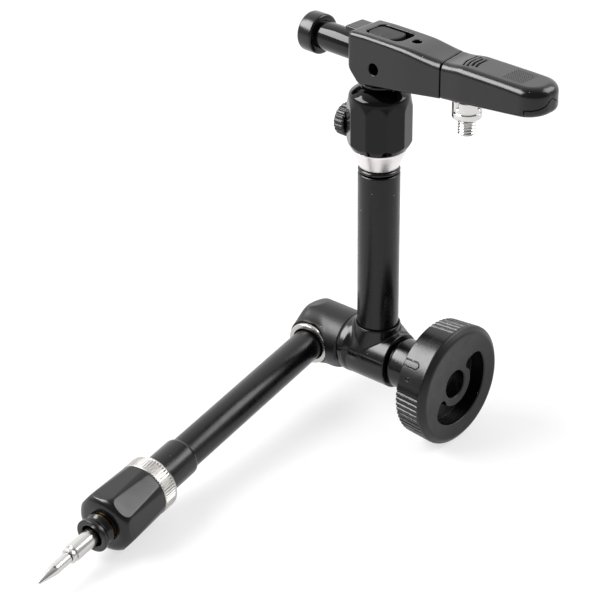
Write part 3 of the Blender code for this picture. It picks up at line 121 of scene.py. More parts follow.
def local(node, axes):
    """A node's corners in the given axes, in millimetres."""
    back = axes.inverted()
    return np.array([back @ vertex.co for vertex in frame["nodes"][node].data.vertices]) / MM


def extent(axes, *nodes):
    """Lowest and highest place of some nodes in the given axes."""
    points = np.concatenate([local(node, axes) for node in nodes])
    return points.min(0), points.max(0)


def rings(node, axes):
    """Radius and height of each corner of a node about the axes' Z."""
    points = local(node, axes)
    return np.hypot(points[:, 0], points[:, 1]), points[:, 2]


def span(node, axes):
    """Low end, high end, largest radius and smallest radius of a turned node."""
    reach, height = rings(node, axes)
    return height.min(), height.max(), reach.max(), reach.min()


# Mesh makers


def added(name, data):
    """A new object in the scene."""
    thing = bpy.data.objects.new(name, data)
    bpy.context.scene.collection.objects.link(thing)
    return thing


def trim(name, mesh, axes, body, material):
    """Put a finished mesh in the frame; by itself it is a small detail that stands for no node."""
    mesh.name = name
    for polygon in mesh.polygons:
        polygon.use_smooth = True
    mesh.materials.append(material)
    piece = added(name, mesh)
    mesh.transform(axes @ Matrix.Scale(MM, 4))
    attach(piece, body)
    return piece


def place(name, mesh, axes, node, material):
    """Put a finished mesh in the frame in place of its node."""
    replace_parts(trim(name, mesh, axes, body_of[node], material), node)


def soften(points, radius, closed):
    """Round each corner of an outline with a short curve; a point's third value is its own radius."""
    reach = 0.45
    result = []
    count = len(points)
    for index, point in enumerate(points):
        here = np.array(point[:2], float)
        if not closed and index in (0, count - 1):
            result.append(tuple(here))
            continue
        before = np.array(points[index - 1][:2], float) - here
        after = np.array(points[(index + 1) % count][:2], float) - here
        size = point[2] if len(point) > 2 else radius
        size = min(size, reach * np.linalg.norm(before), reach * np.linalg.norm(after))
        start = here + size * before / np.linalg.norm(before)
        end = here + size * after / np.linalg.norm(after)
        for step in range(CORNER_STEPS + 1):
            share = step / CORNER_STEPS
            curve = (1 - share) ** 2 * start + 2 * share * (1 - share) * here + share ** 2 * end
            result.append(tuple(curve))
    return result


def dense(points, gap, closed):
    """Add points along an outline so that none lie further apart than gap."""
    result = []
    ends = points[1:] + points[:1] if closed else points[1:]
    for start, end in zip(points, ends):
        count = max(1, ceil(dist(start, end) / gap))
        for step in range(count):
            share = step / count
            result.append(tuple(a + (b - a) * share for a, b in zip(start, end)))
    if not closed:
        result.append(points[-1])
    return result


def lathe(outline, steps=ROUND_STEPS, shape=None, gap=0.0, soft=SOFT):
    """A turned mesh from radius and height points; shape(size, angle, height) may carve it."""
    closed = outline[0][0] > TINY
    points = soften(outline, soft, closed)
    points = [p for i, p in enumerate(points) if dist(p, points[i - 1]) > TINY]
    if gap:
        points = dense(points, gap, closed)
    work = bmesh.new()
    loops = []
    angles = np.arange(steps) * FULL_TURN / steps
    for radius, height in points:
        if radius < TINY:
            loops.append([work.verts.new((0.0, 0.0, height))])
            continue
        sizes = shape(radius, angles, height) if shape else radius
        spots = zip(sizes * np.cos(angles), sizes * np.sin(angles))
        loops.append([work.verts.new((x, y, height)) for x, y in spots])
    pairs = list(zip(loops, loops[1:]))
    if closed:
        pairs.append((loops[-1], loops[0]))
    for low, high in pairs:
        for index in range(steps):
            after = (index + 1) % steps
            corners = [low[index % len(low)], low[after % len(low)]]
            corners += [high[after % len(high)], high[index % len(high)]]
            work.faces.new(list(dict.fromkeys(corners)))
    bmesh.ops.recalc_face_normals(work, faces=work.faces)
    return finished(work)


def finished(work):
    """A mesh from what was built in a bmesh."""
    mesh = bpy.data.meshes.new("piece")
    work.to_mesh(mesh)
    work.free()
    return mesh


def skin(field, low, high, step):
    """A closed mesh where a distance field is zero, with normals from the field."""
    snaps = 4
    ticks = [np.arange(a - 2 * step, b + 2.5 * step, step) for a, b in zip(low, high)]
    grid = np.stack(np.meshgrid(*ticks, indexing="ij"), -1)
    value = field(grid.reshape(-1, 3)).reshape(grid.shape[:3])
    cells = tuple(size - 1 for size in value.shape)
    total = np.zeros(cells + (3,))
    hits = np.zeros(cells)
    crossings = []
    for axis in range(3):
        others = [other for other in range(3) if other != axis]
        start = np.take(value, range(cells[axis]), axis)
        end = np.take(value, range(1, cells[axis] + 1), axis)
        crossed = (start < 0) != (end < 0)
        share = np.where(crossed, start / np.where(crossed, start - end, 1.0), 0.0)
        spots = np.take(grid, range(cells[axis]), axis)
        spots[..., axis] += share * step
        spots *= crossed[..., None]
        for shift in ((0, 0), (0, 1), (1, 0), (1, 1)):
            part = [slice(None)] * 3
            for other, move in zip(others, shift):
                part[other] = slice(move, move + cells[other])
            total += spots[tuple(part)]
            hits += crossed[tuple(part)]
        crossings.append((axis, others, crossed, start < 0))
    used = hits > 0
    number = np.full(cells, -1)
    number[used] = np.arange(used.sum())
    points = total[used] / hits[used][:, None]
    for _ in range(snaps):
        slope = gradient(field, points)
        push = field(points)[:, None] * slope / np.maximum((slope ** 2).sum(1), 1e-6)[:, None]
        points = points - np.clip(push, -0.5 * step, 0.5 * step)
    faces = []
    for axis, others, crossed, solid_first in crossings:
        spots = np.argwhere(crossed)
        flip = solid_first[crossed]
        quads = []
        for shift in ((1, 1), (0, 1), (0, 0), (1, 0)):
            cell = spots.copy()
            for other, move in zip(others, shift):
                cell[:, other] -= move
            quads.append(number[tuple(cell.T)])
        quads = np.stack(quads, 1)
        turn = flip if axis != 1 else ~flip
        quads[~turn] = quads[~turn][:, ::-1]
        faces.append(quads)
    mesh = bpy.data.meshes.new("piece")
    mesh.from_pydata(points.tolist(), [], np.concatenate(faces).tolist())
    slope = gradient(field, points)
    slope /= np.maximum(np.linalg.norm(slope, axis=1), 1e-9)[:, None]
    for polygon in mesh.polygons:
        polygon.use_smooth = True
    mesh.normals_split_custom_set_from_vertices(slope.tolist())
    return mesh


def gradient(field, points, reach=0.05):
    """Slope of a field, by central differences."""
    parts = []
    for axis in range(3):
        move = np.zeros(3)
        move[axis] = reach
        parts.append((field(points + move) - field(points - move)) / (2 * reach))
    return np.stack(parts, 1)


# Outlines and shapes that turned pieces share


def oval(radius, height, half_r, half_z, turns):
    """Outline points on an oval about a radius and height."""
    return [(radius + half_r * cos(turn), height + half_z * sin(turn), 0.0) for turn in turns]


def circle(steps):
    """Angles of a full turn."""
    return np.arange(steps) * FULL_TURN / steps


def folded(angle, start, count):
    """Angle from the middle of the nearest of count equal sectors, of which one begins at start."""
    sector = FULL_TURN / count
    return (angle - start) % sector - sector / 2


def faceted(size, angle, flat, start, count, crispness):
    """A round cut by flats, with softly rounded edges between them."""
    facet = flat / np.cos(folded(angle, start, count))
    return -np.logaddexp(-facet * crispness, -size * crispness) / crispness


# Distance fields


def unit(value):
    """A value held between 0 and 1."""
    return np.clip(value, 0.0, 1.0)


def ease(x, start, end):
    """A smooth step from 0 to 1."""
    share = unit((x - start) / (end - start))
    return share * share * (3.0 - 2.0 * share)


def join(a, b, blend):
    """Smooth union of two fields."""
    share = unit(0.5 + 0.5 * (b - a) / blend)
    return b + (a - b) * share - blend * share * (1.0 - share)


def carve(a, b, blend):
    """Field a with field b cut away, with a small round edge."""
    return -join(-a, b, blend)


def meet(a, b, blend):
    """What two fields share, with a small round edge."""
    return -join(-a, -b, blend)


def corner(side, end, edge):
    """What lies within two crossing faces, with a round edge between them."""
    side = side + edge
    end = end + edge
    outside = np.hypot(np.maximum(side, 0.0), np.maximum(end, 0.0))
    return outside + np.minimum(np.maximum(side, end), 0.0) - edge


def bar(reach, along, radius, low, high, edge):
    """A round bar from distances to its axis and along it."""
    return corner(reach - radius, np.abs(along - (low + high) / 2) - (high - low) / 2, edge)


def bored(solid, reach, along, *holes, blend=FINE):
    """A field with round holes along one line, each with a radius, a low end and a high end."""
    for radius, low, high in holes:
        solid = carve(solid, bar(reach, along, radius, low, high, 0.0), blend)
    return solid


def drilled(solid, u, v, radius, limit, blend=FINE):
    """A field with a round hole about u = v = 0 that goes as far as limit is below 0."""
    return carve(solid, np.maximum(np.hypot(u, v) - radius, limit), blend)


def brick(points, low, high, edge):
    """A box between two corners with round edges."""
    low = np.array(low, float)
    high = np.array(high, float)
    deep = np.abs(points - (low + high) / 2) - (high - low) / 2 + edge
    outside = np.linalg.norm(np.maximum(deep, 0.0), axis=1)
    return outside + np.minimum(deep.max(1), 0.0) - edge


def slot_plan(x, y, half_x, half_y, edge):
    """Distance from a flat slot with round corners."""
    return corner(np.abs(x) - half_x, np.abs(y) - half_y, edge)


# Materials


class Nodes:
    """A node tree with short calls for the nodes that it needs."""

    def __init__(self, owner):
        owner.use_nodes = True
        self.tree = owner.node_tree

    def node(self, kind, sockets=None, **settings):
        """A new node with settings and socket values."""
        made = self.tree.nodes.new(kind)
        for key, value in settings.items():
            setattr(made, key, value)
        for key, value in (sockets or {}).items():
            made.inputs[key].default_value = value
        return made

    def link(self, start, end):
        self.tree.links.new(start, end)

    def calc(self, operation, first, second, **settings):
        """The result of a Math node on an output and a number or another output."""
        made = self.node("ShaderNodeMath", operation=operation, **settings)
        self.link(first, made.inputs[0])
        if isinstance(second, float):
            made.inputs[1].default_value = second
        else:
            self.link(second, made.inputs[1])
        return made.outputs[0]

    def facing(self, direction, axis):
        """How far a direction runs along an axis."""
        made = self.node("ShaderNodeVectorMath", {1: axis}, operation="DOT_PRODUCT")
        self.link(direction, made.inputs[0])
        return made.outputs["Value"]

    def spread(self, value, low, high, start=0.3, end=0.7):
        """A value mapped to a new range; start and end are those of a noise unless given."""
        sockets = {"From Min": start, "From Max": end, "To Min": low, "To Max": high}
        made = self.node("ShaderNodeMapRange", sockets)
        self.link(value, made.inputs["Value"])
        return made.outputs["Result"]


class Paint(Nodes):
    """A material with short calls for its textures."""

    dust_shade = (0.32, 0.32, 0.33, 1.0)
    dust_scale = 260.0
    dust_size = 0.055
    dust_rarity = 0.86

    def __init__(self, name):
        self.material = bpy.data.materials.new(name)
        super().__init__(self.material)
        self.shader = self.tree.nodes["Principled BSDF"]
        places = self.node("ShaderNodeTexCoord")
        self.coords = places.outputs["Object"]
        self.normals = places.outputs["Normal"]

    def level(self, socket, value):
        """Set a socket of the shader to one value all over."""
        self.shader.inputs[socket].default_value = value

    def feed(self, socket, value):
        """Let a texture drive a socket of the shader."""
        self.link(value, self.shader.inputs[socket])

    def noise(self, scale, detail, turn=None, stretch=None):
        made = self.node("ShaderNodeTexNoise", {"Scale": scale, "Detail": detail})
        source = self.coords
        if turn is not None:
            mapping = self.node("ShaderNodeMapping", {"Rotation": turn, "Scale": stretch})
            self.link(source, mapping.inputs["Vector"])
            source = mapping.outputs["Vector"]
        self.link(source, made.inputs["Vector"])
        return made.outputs["Fac"]

    def ramp(self, value, shade, low, high=1.0):
        """A shade that varies from low to high times its strength."""
        made = self.node("ShaderNodeValToRGB")
        first, last = made.color_ramp.elements
        first.position, last.position = 0.3, 0.7
        first.color = (*(low * part for part in shade), 1.0)
        last.color = (*(high * part for part in shade), 1.0)
        self.link(value, made.inputs["Fac"])
        return made.outputs["Color"]

    def bump(self, height, strength, distance):
        made = self.node("ShaderNodeBump", {"Strength": strength, "Distance": distance * MM})
        self.link(height, made.inputs["Height"])
        self.feed("Normal", made.outputs["Normal"])

    def dusty(self, colour):
        """A colour with sparse dust grains on it."""
        grains = self.node("ShaderNodeTexVoronoi", {"Scale": self.dust_scale})
        self.link(self.coords, grains.inputs["Vector"])
        pick = self.node("ShaderNodeSeparateColor")
        self.link(grains.outputs["Color"], pick.inputs["Color"])
        close = self.calc("LESS_THAN", grains.outputs["Distance"], self.dust_size)
        rare = self.calc("GREATER_THAN", pick.outputs["Red"], self.dust_rarity)
        made = self.node("ShaderNodeMix", {"B": self.dust_shade}, data_type="RGBA")
        self.link(self.calc("MULTIPLY", close, rare), made.inputs["Factor"])
        self.link(colour, made.inputs["A"])
        return made.outputs["Result"]


def black_coat(name, dark, rough, shine, grain, relief, blue=0.0001, dust=True, flat_axis=None):
    """Black paint or plastic with a fine grain, patches and a little dust; duller where it faces flat_axis."""
    dulling = 0.2
    paint = Paint(name)
    colour = paint.ramp(paint.noise(55.0, 3.0), (dark, dark, dark + blue), 0.75, 1.25)
    paint.feed("Base Color", paint.dusty(colour) if dust else colour)
    dull = paint.spread(paint.noise(130.0, 4.0), *rough)
    if flat_axis is not None:
        extra = paint.facing(paint.normals, tuple(dulling * part for part in flat_axis))
        dull = paint.calc("ADD", dull, extra, use_clamp=True)
    paint.feed("Roughness", dull)
    paint.level("Specular IOR Level", shine)
    paint.bump(paint.noise(grain, 2.0), 0.35, relief)
    return paint.material


def plated(name, shade, rough, axis):
    """Bright plated metal with turning lines about an axis."""
    lines = 1500.0
    paint = Paint(name)
    paint.level("Metallic", 1.0)
    paint.feed("Base Color", paint.ramp(paint.noise(90.0, 3.0), shade, 0.93))
    turn = UP.rotation_difference(axis).inverted().to_euler()
    streak = paint.noise(lines, 2.0, tuple(turn), (0.04, 0.04, 1.0))
    paint.feed("Roughness", paint.spread(streak, *rough))
    paint.bump(streak, 0.12, 0.02)
    return paint.material


def patchy(name, shade, rough, dark=0.8, scale=120.0, detail=4.0, metal=1.0):
    """A plain machined surface with mild patches."""
    paint = Paint(name)
    paint.level("Metallic", metal)
    patches = paint.noise(scale, detail)
    paint.feed("Base Color", paint.ramp(patches, shade, dark))
    paint.feed("Roughness", paint.spread(patches, *rough))
    return paint.material


casting = black_coat("casting_paint", 0.0014, (0.18, 0.26), shine=0.42, grain=1500.0, relief=0.05)
satin = black_coat("satin_paint", 0.0020, (0.35, 0.43), shine=0.36, grain=1500.0, relief=0.06)
gloss = black_coat("gloss_paint", 0.0008, (0.06, 0.10), shine=0.31, grain=900.0, relief=0.012)
collar_paint = black_coat("collar_paint", 0.0006, (0.07, 0.12), shine=0.25, grain=900.0, relief=0.012)
tube_paint = black_coat("tube_paint", 0.0010, (0.25, 0.32), shine=0.36, grain=1800.0, relief=0.03)
moulding = black_coat("moulded_plastic", 0.0026, (0.28, 0.38), shine=0.45, grain=2600.0, relief=0.06)
knob_skin = black_coat("knob_plastic", 0.0018, (0.22, 0.30), shine=0.42, grain=2600.0, relief=0.05,
                       flat_axis=(1, 0, 0))
grip_skin = black_coat("grip_plastic", 0.0014, (0.17, 0.25), shine=0.42, grain=2600.0, relief=0.05)
button_skin = black_coat("button_plastic", 0.0050, (0.45, 0.56), shine=0.42, grain=1100.0, relief=0.35)
rubber = black_coat("seal_rubber", 0.0008, (0.10, 0.18), shine=0.42, grain=900.0, relief=0.02,
                    blue=0.0, dust=False)
upper_nickel = plated("upper_nickel", (0.84, 0.80, 0.80), (0.26, 0.38), UP)
# The lower arm's nickel is a darker copy of the same plating: its base colour is painted darker as painted shade,
# so that its brightly lit ring and ferrule stay below white.
shade_darkened_nickel = plated("shade_darkened_nickel", (0.50, 0.487, 0.47), (0.22, 0.32), lower_along)
probe_nickel = plated("probe_nickel", (0.60, 0.59, 0.575), (0.16, 0.26), lower_along)
stud_nickel = plated("stud_nickel", (0.66, 0.65, 0.635), (0.12, 0.20), UP)
steel = patchy("turned_steel", (0.52, 0.52, 0.54), (0.28, 0.42))
dark_steel = patchy("oxide_steel", (0.05, 0.05, 0.055), (0.30, 0.45))
brass = patchy("turned_brass", (0.30, 0.20, 0.09), (0.22, 0.34))
bearing = patchy("bearing_plastic", (0.70, 0.68, 0.62), (0.42, 0.56), 0.85, 80.0, 3.0, metal=0.0)
by_slot = {
    "black_paint": casting,
    "black_tube": tube_paint,
    "black_plastic": moulding,
    "black_rubber": rubber,
    "nickel": shade_darkened_nickel,
    "steel": steel,
    "brass": brass,
    "bearing_plastic": bearing,
}


def dress_nodes():
    """Give every carried-over node the material of its slot."""
    for node, thing in frame["nodes"].items():
        thing.data.materials.clear()
        thing.data.materials.append(by_slot[slot_of[node]])


# Pieces: lower arm


def build_lower():
    """Tube, plated ferrule and sleeve."""
    low, high, radius, inner = span("lower_tube", BALL)
    outline = [(inner, low), (radius, low), (radius, high), (inner, high)]
    place("tube_lower", lathe(outline), BALL, "lower_tube", tube_paint)

    low, high, radius, inner = span("lower_ferrule", BALL)
    bevel = 0.5
    outline = [(inner, low), (radius, low, FINE), (radius, high - bevel, FINE), (radius - bevel, high, FINE)]
    outline += [(inner + bevel, high, FINE), (inner, high - 0.9, 0.2)]
    place("ferrule", lathe(outline), BALL, "lower_ferrule", shade_darkened_nickel)

    low, high, radius, inner = span("lower_sleeve", BALL)
    outline = [(inner, low), (radius - 0.5, low), (radius, low + 1.6), (radius, high), (inner, high)]
    place("sleeve", lathe(outline), BALL, "lower_sleeve", casting)


def build_lock_ring():
    """The plated ring, with a bevel behind its knurled band."""
    low, high, radius, inner = span("lock_ring", BALL)
    radius -= 0.5
    band = low + 3.8
    teeth = 58
    steps_per_tooth = 12
    depth = 1.0

    def knurl(size, angle, height):
        wave = 0.5 + 0.5 * np.cos(teeth * angle)
        dip = depth * unit((wave - 0.5) / 0.3)
        return size - dip if band + 0.2 < height < high - 0.35 else size

    outline = [(inner, low), (radius - 3.6, low, 0.4), (radius - 0.5, band - 1.0, 0.9), (radius, band, FINE)]
    outline += [(radius, high - 0.4, FINE), (radius - 0.5, high), (inner, high)]
    mesh = lathe(outline, teeth * steps_per_tooth, knurl, gap=0.6)
    place("knurled_ring", mesh, BALL, "lock_ring", shade_darkened_nickel)


def build_chuck():
    """The chuck: round at the back, eight flats that deepen to a full shoulder, a domed nose."""
    low, high, _, inner = span("chuck", BALL)
    reach, height_of = rings("chuck", BALL)
    back = reach[height_of < low + 1.0].max()
    lip = reach[height_of > high - 0.1].max()
    mouth = lip - 1.0
    mouth_floor = high - 1.8
    radius = back + 1.5
    flat = radius - 1.1
    back_flat = back - 0.5
    shoulder = high - 6.4
    sides = 8
    roll = radians(5.0) + pi / sides
    crispness = 24.0
    fullness = 0.85
    dome_steps = 12

    def flats(size, angle, height):
        if size < inner + 0.5:
            return size
        share = unit((height - low) / (shoulder - low))
        return faceted(size, angle, back_flat + (flat - back_flat) * share, roll, sides, crispness)

    outline = [(inner, low), (back, low, 0.7)]
    for step in range(dome_steps + 1):
        angle = pi / 2 * step / dome_steps
        out = max(cos(angle), 0.0) ** fullness
        up = sin(angle) ** fullness
        outline.append((lip + (radius - lip) * out, shoulder + (high - shoulder) * up, 0.0))
    outline += [(mouth, high, 0.4), (mouth, mouth_floor), (inner, mouth_floor)]
    place("chuck_body", lathe(outline, 320, flats, gap=0.6), BALL, "chuck", casting)


def build_nose():
    """The nose bush with a front flange and a flared foot, and the brass shim behind it."""
    low, high, radius, inner = span("nose_bush", BALL)
    neck = radius - 1.7
    flange = high - 2.6
    foot = span("nose_shim", BALL)[1] + 0.1
    outline = [(inner, low), (neck, low), (neck, foot), (radius - 0.5, foot, FINE)]
    outline += [(neck + 0.2, foot + 2.4, 2.0), (neck, flange - 1.2, 1.0), (radius, flange, 0.6)]
    outline += [(radius, high, 0.6), (inner + 0.5, high, FINE), (inner, high - 0.7, FINE)]
    place("nose", lathe(outline), BALL, "nose_bush", casting)

    low, high, radius, inner = span("nose_shim", BALL)
    rim = radius - 0.6
    outline = [(inner, low), (rim, low), (rim, high), (inner, high)]
    place("shim", lathe(outline, soft=0.1), BALL, "nose_shim", brass)


def build_probe():
    """Plated shank on its ball, and its point with a cross hole."""
    _, high, ball, _ = span("probe_shank", BALL)
    radius = 4.8
    neck_from = 14.0
    groove = high - 3.2
    groove_r = radius - 1.0
    end_ring = radius - 0.4
    ball_steps = 12
    ball_turn = pi - asin(radius / ball)
    outline = []
    for step in range(ball_steps + 1):
        angle = -pi / 2 + ball_turn * step / ball_steps
        outline.append((max(ball * cos(angle), 0.0), ball * sin(angle), 0.0))
    outline += [(radius, neck_from), (radius, groove, FINE), (groove_r, groove + 0.2, 0.1)]
    outline += [(groove_r, groove + 0.9, 0.1), (end_ring, groove + 1.1, 0.2), (end_ring, high - 0.2, 0.4)]
    outline += [(radius - 1.6, high, 0.2), (0.0, high)]
    place("shank", lathe(outline), BALL, "probe_shank", probe_nickel)

    start = high + GAP
    high = span("probe_tip", BALL)[1]
    radius = 3.1
    end_r = 0.9
    taper = start + 0.46 * (high - start)
    bow = 1.15
    hole_r = 0.6
    hole_z = start + 0.50 * (high - start)
    hole_from = 0.8
    spin = BALL.to_3x3().inverted() @ VIEW
    aim = atan2(spin.y, spin.x) + radians(14.0)

    def field(p):
        x, y, z = p.T
        reach = np.hypot(x, y)
        share = unit((z - taper) / (high - end_r - taper))
        size = radius - (radius - end_r) * share ** bow
        solid = meet((reach - size) * 0.98, start - z, 0.3)
        tip = np.hypot(reach, np.maximum(z - high + end_r, 0.0)) - end_r
        solid = np.where(z > high - end_r, tip, solid)
        out = x * cos(aim) + y * sin(aim)
        side = y * cos(aim) - x * sin(aim)
        return drilled(solid, side, z - hole_z, hole_r, hole_from - out, 0.1)

    mesh = skin(field, (-radius, -radius, start), (radius, radius, high), 0.25)
    place("point", mesh, BALL, "probe_tip", probe_nickel)


# Pieces: elbow and knob

# Line of the lower tube in the upper arm's axes, and the place of the probe's ball along it
wedge_low, wedge_high = extent(UPPER, "lower_wedge")
TUBE_FROM = np.array([(wedge_low[0] + wedge_high[0]) / 2, 0.0, 0.0])
TUBE_ALONG = np.array(UPPER.to_3x3().inverted() @ lower_along)
BALL_RUN = np.linalg.norm(np.array(UPPER.inverted() @ BALL.translation) / MM - TUBE_FROM)
# Rooms in both halves of the elbow, for the wedges, the draw bolt and the push rods
WEDGE_ROOM = 10.8
BOLT_ROOM = 5.3
ROD_ROOM = 4.6
ROD_FROM = 2.3


def about_tube(points):
    """Distance from the lower tube's line, and place along it."""
    offset = points - TUBE_FROM
    run = offset @ TUBE_ALONG
    return np.sqrt(np.maximum((offset ** 2).sum(1) - run ** 2, 1e-9)), run


def edge_lip(name, radius, at, axes, node):
    """A fine polished bead round the mouth of a socket."""
    size = 0.5
    ring = oval(radius, at, size, size, circle(12))
    trim(name, lathe(ring), axes, body_of[node], gloss)


def build_lower_housing():
    """Left half of the elbow: a barrel with a slanted flat at its end and a socket for the lower tube."""
    low, high = extent(UPPER, "lower_housing")
    radius = 17.8
    dome = 7.0
    dome_round = 6.4
    dome_from = low[0] + 1.6 + dome
    facet = np.array([-0.314, 0.04, 0.949])
    facet_at = np.array([dome_from + 3.8, 0.0, radius])
    ferrule_low, _, ferrule, _ = span("lower_ferrule", BALL)
    seat = ferrule_low - GAP + BALL_RUN
    socket = span("lower_tube", BALL)[2] + GAP
    socket_from = seat - 2.9
    mouth = seat + 30.0
    tube_holes = ((ferrule + GAP, seat, mouth), (socket, socket_from, mouth), (ROD_ROOM, ROD_FROM, mouth))
    wedge_hole = (WEDGE_ROOM, low[0] - PAST, TUBE_FROM[0] + WEDGE_ROOM)
    bolt_holes = (wedge_hole, (BOLT_ROOM, TUBE_FROM[0], high[0] + PAST))

    def field(p):
        x, y, z = p.T
        reach = np.hypot(y, z)
        end = np.maximum(dome_from - x, 0.0) * dome_round / dome
        side = np.maximum(reach - radius + dome_round, 0.0)
        barrel = np.where(side + end > 0, np.hypot(side, end) - dome_round, reach - radius)
        barrel = meet(barrel, x - high[0], 1.6 + 8.0 * ease(-z, 2.0, 12.0))
        barrel = meet(barrel, (p - facet_at) @ facet, 0.5)
        line, run = about_tube(p)
        solid = join(barrel, bar(line, run, ferrule + 1.0, ROD_FROM, seat, 0.9), 3.0)
        solid = bored(solid, line, run, *tube_holes)
        return bored(solid, reach, x, *bolt_holes)

    place("elbow_left", skin(field, low, high, 0.6), UPPER, "lower_housing", satin)
    edge_lip("lower_lip", ferrule + 0.65, seat - BALL_RUN - 0.1, BALL, "lower_housing")


def build_upper_housing():
    """Right half of the elbow: flange, barrel, socket for the upper tube and a gusset."""
    low, high = extent(UPPER, "upper_housing")
    radius = 16.0
    flange = 17.6
    flange_end = low[0] + 5.0
    wedge_from = -7.0
    boss_end = high[2]
    boss_flare = 0.2
    tube_low, _, tube_radius, _ = span("upper_tube", UPPER)
    socket = tube_radius + GAP
    _, washer_high, washer, _ = span("elbow_washer", ELBOW)
    web_y, web_half = 6.3, 4.3
    web_x, web_reach = 9.0, 7.2
    foot_x, foot_z = 16.2, 11.7
    top_x, top_z = 5.9, 19.4
    fall = np.array([top_z - foot_z, foot_x - top_x])
    fall /= np.linalg.norm(fall)
    seam_z = 4.8
    seam_depth = 0.15
    margin = 1.0
    washer_hole = (washer + GAP, low[0] - PAST, washer_high + GAP)
    bolt_holes = ((WEDGE_ROOM, wedge_from, high[0] + PAST), (BOLT_ROOM, low[0] - PAST, 0.0), washer_hole)
    tube_holes = ((socket, tube_low - GAP, boss_end + PAST), (ROD_ROOM, ROD_FROM, boss_end + PAST))

    def field(p):
        x, y, z = p.T
        reach = np.hypot(y, z)
        barrel = bar(reach, x, radius, low[0], high[0], 0.7)
        rise = flange - (flange - radius) * ease(-z, -4.0, 8.0)
        ring = bar(reach - rise + flange, x, flange, low[0], flange_end, 1.4)
        line = np.hypot(x, y)
        flare = boss_flare * ease(-x, -7.0, 5.0) * (boss_end - z)
        boss = bar(line - flare, z, socket + 0.9, ROD_FROM, boss_end, 0.5)
        web = np.maximum(np.abs(y - web_y) - web_half, np.abs(x - web_x) - web_reach)
        web = np.maximum(web, (x - foot_x) * fall[0] + (z - foot_z) * fall[1])
        web = np.maximum(web, ROD_FROM - z)
        solid = join(barrel, boss, 0.7 + 2.6 * ease(-x, -3.0, 6.0))
        solid = join(solid, web, 0.7)
        solid = join(solid, ring, 1.2 + 4.4 * ease(z, -2.0, 8.0))
        parting = seam_depth * unit(1.3 - np.abs(z - seam_z) / 0.4)
        solid = solid + np.where((y < 0) & (x > low[0] + 1.0), parting, 0.0)
        solid = bored(solid, reach, x, *bolt_holes)
        return bored(solid, line, z, *tube_holes)

    mesh = skin(field, low - margin, high + margin, 0.55)
    place("elbow_right", mesh, UPPER, "upper_housing", casting)
    edge_lip("upper_lip", socket + 0.4, boss_end, UPPER, "upper_housing")


def build_hub():
    """The rubber ring in the dark groove, and the hub behind the knob."""
    low, high, radius, _ = span("elbow_seal", ELBOW)
    size = (high - low) / 2
    ring = oval(radius - size, (low + high) / 2, size, size, circle(20))
    place("elbow_ring", lathe(ring), ELBOW, "elbow_seal", rubber)

    low, high, radius, inner = span("thrust_collar", ELBOW)
    reach, height = rings("thrust_collar", ELBOW)
    neck = reach[height < low + 0.1].max()
    start = height[reach > radius - 0.9].min()
    outline = [(inner, low), (neck, low), (neck, start), (radius, start, 0.8)]
    outline += [(radius, high, 0.6), (inner, high)]
    place("hub", lathe(outline), ELBOW, "thrust_collar", casting)


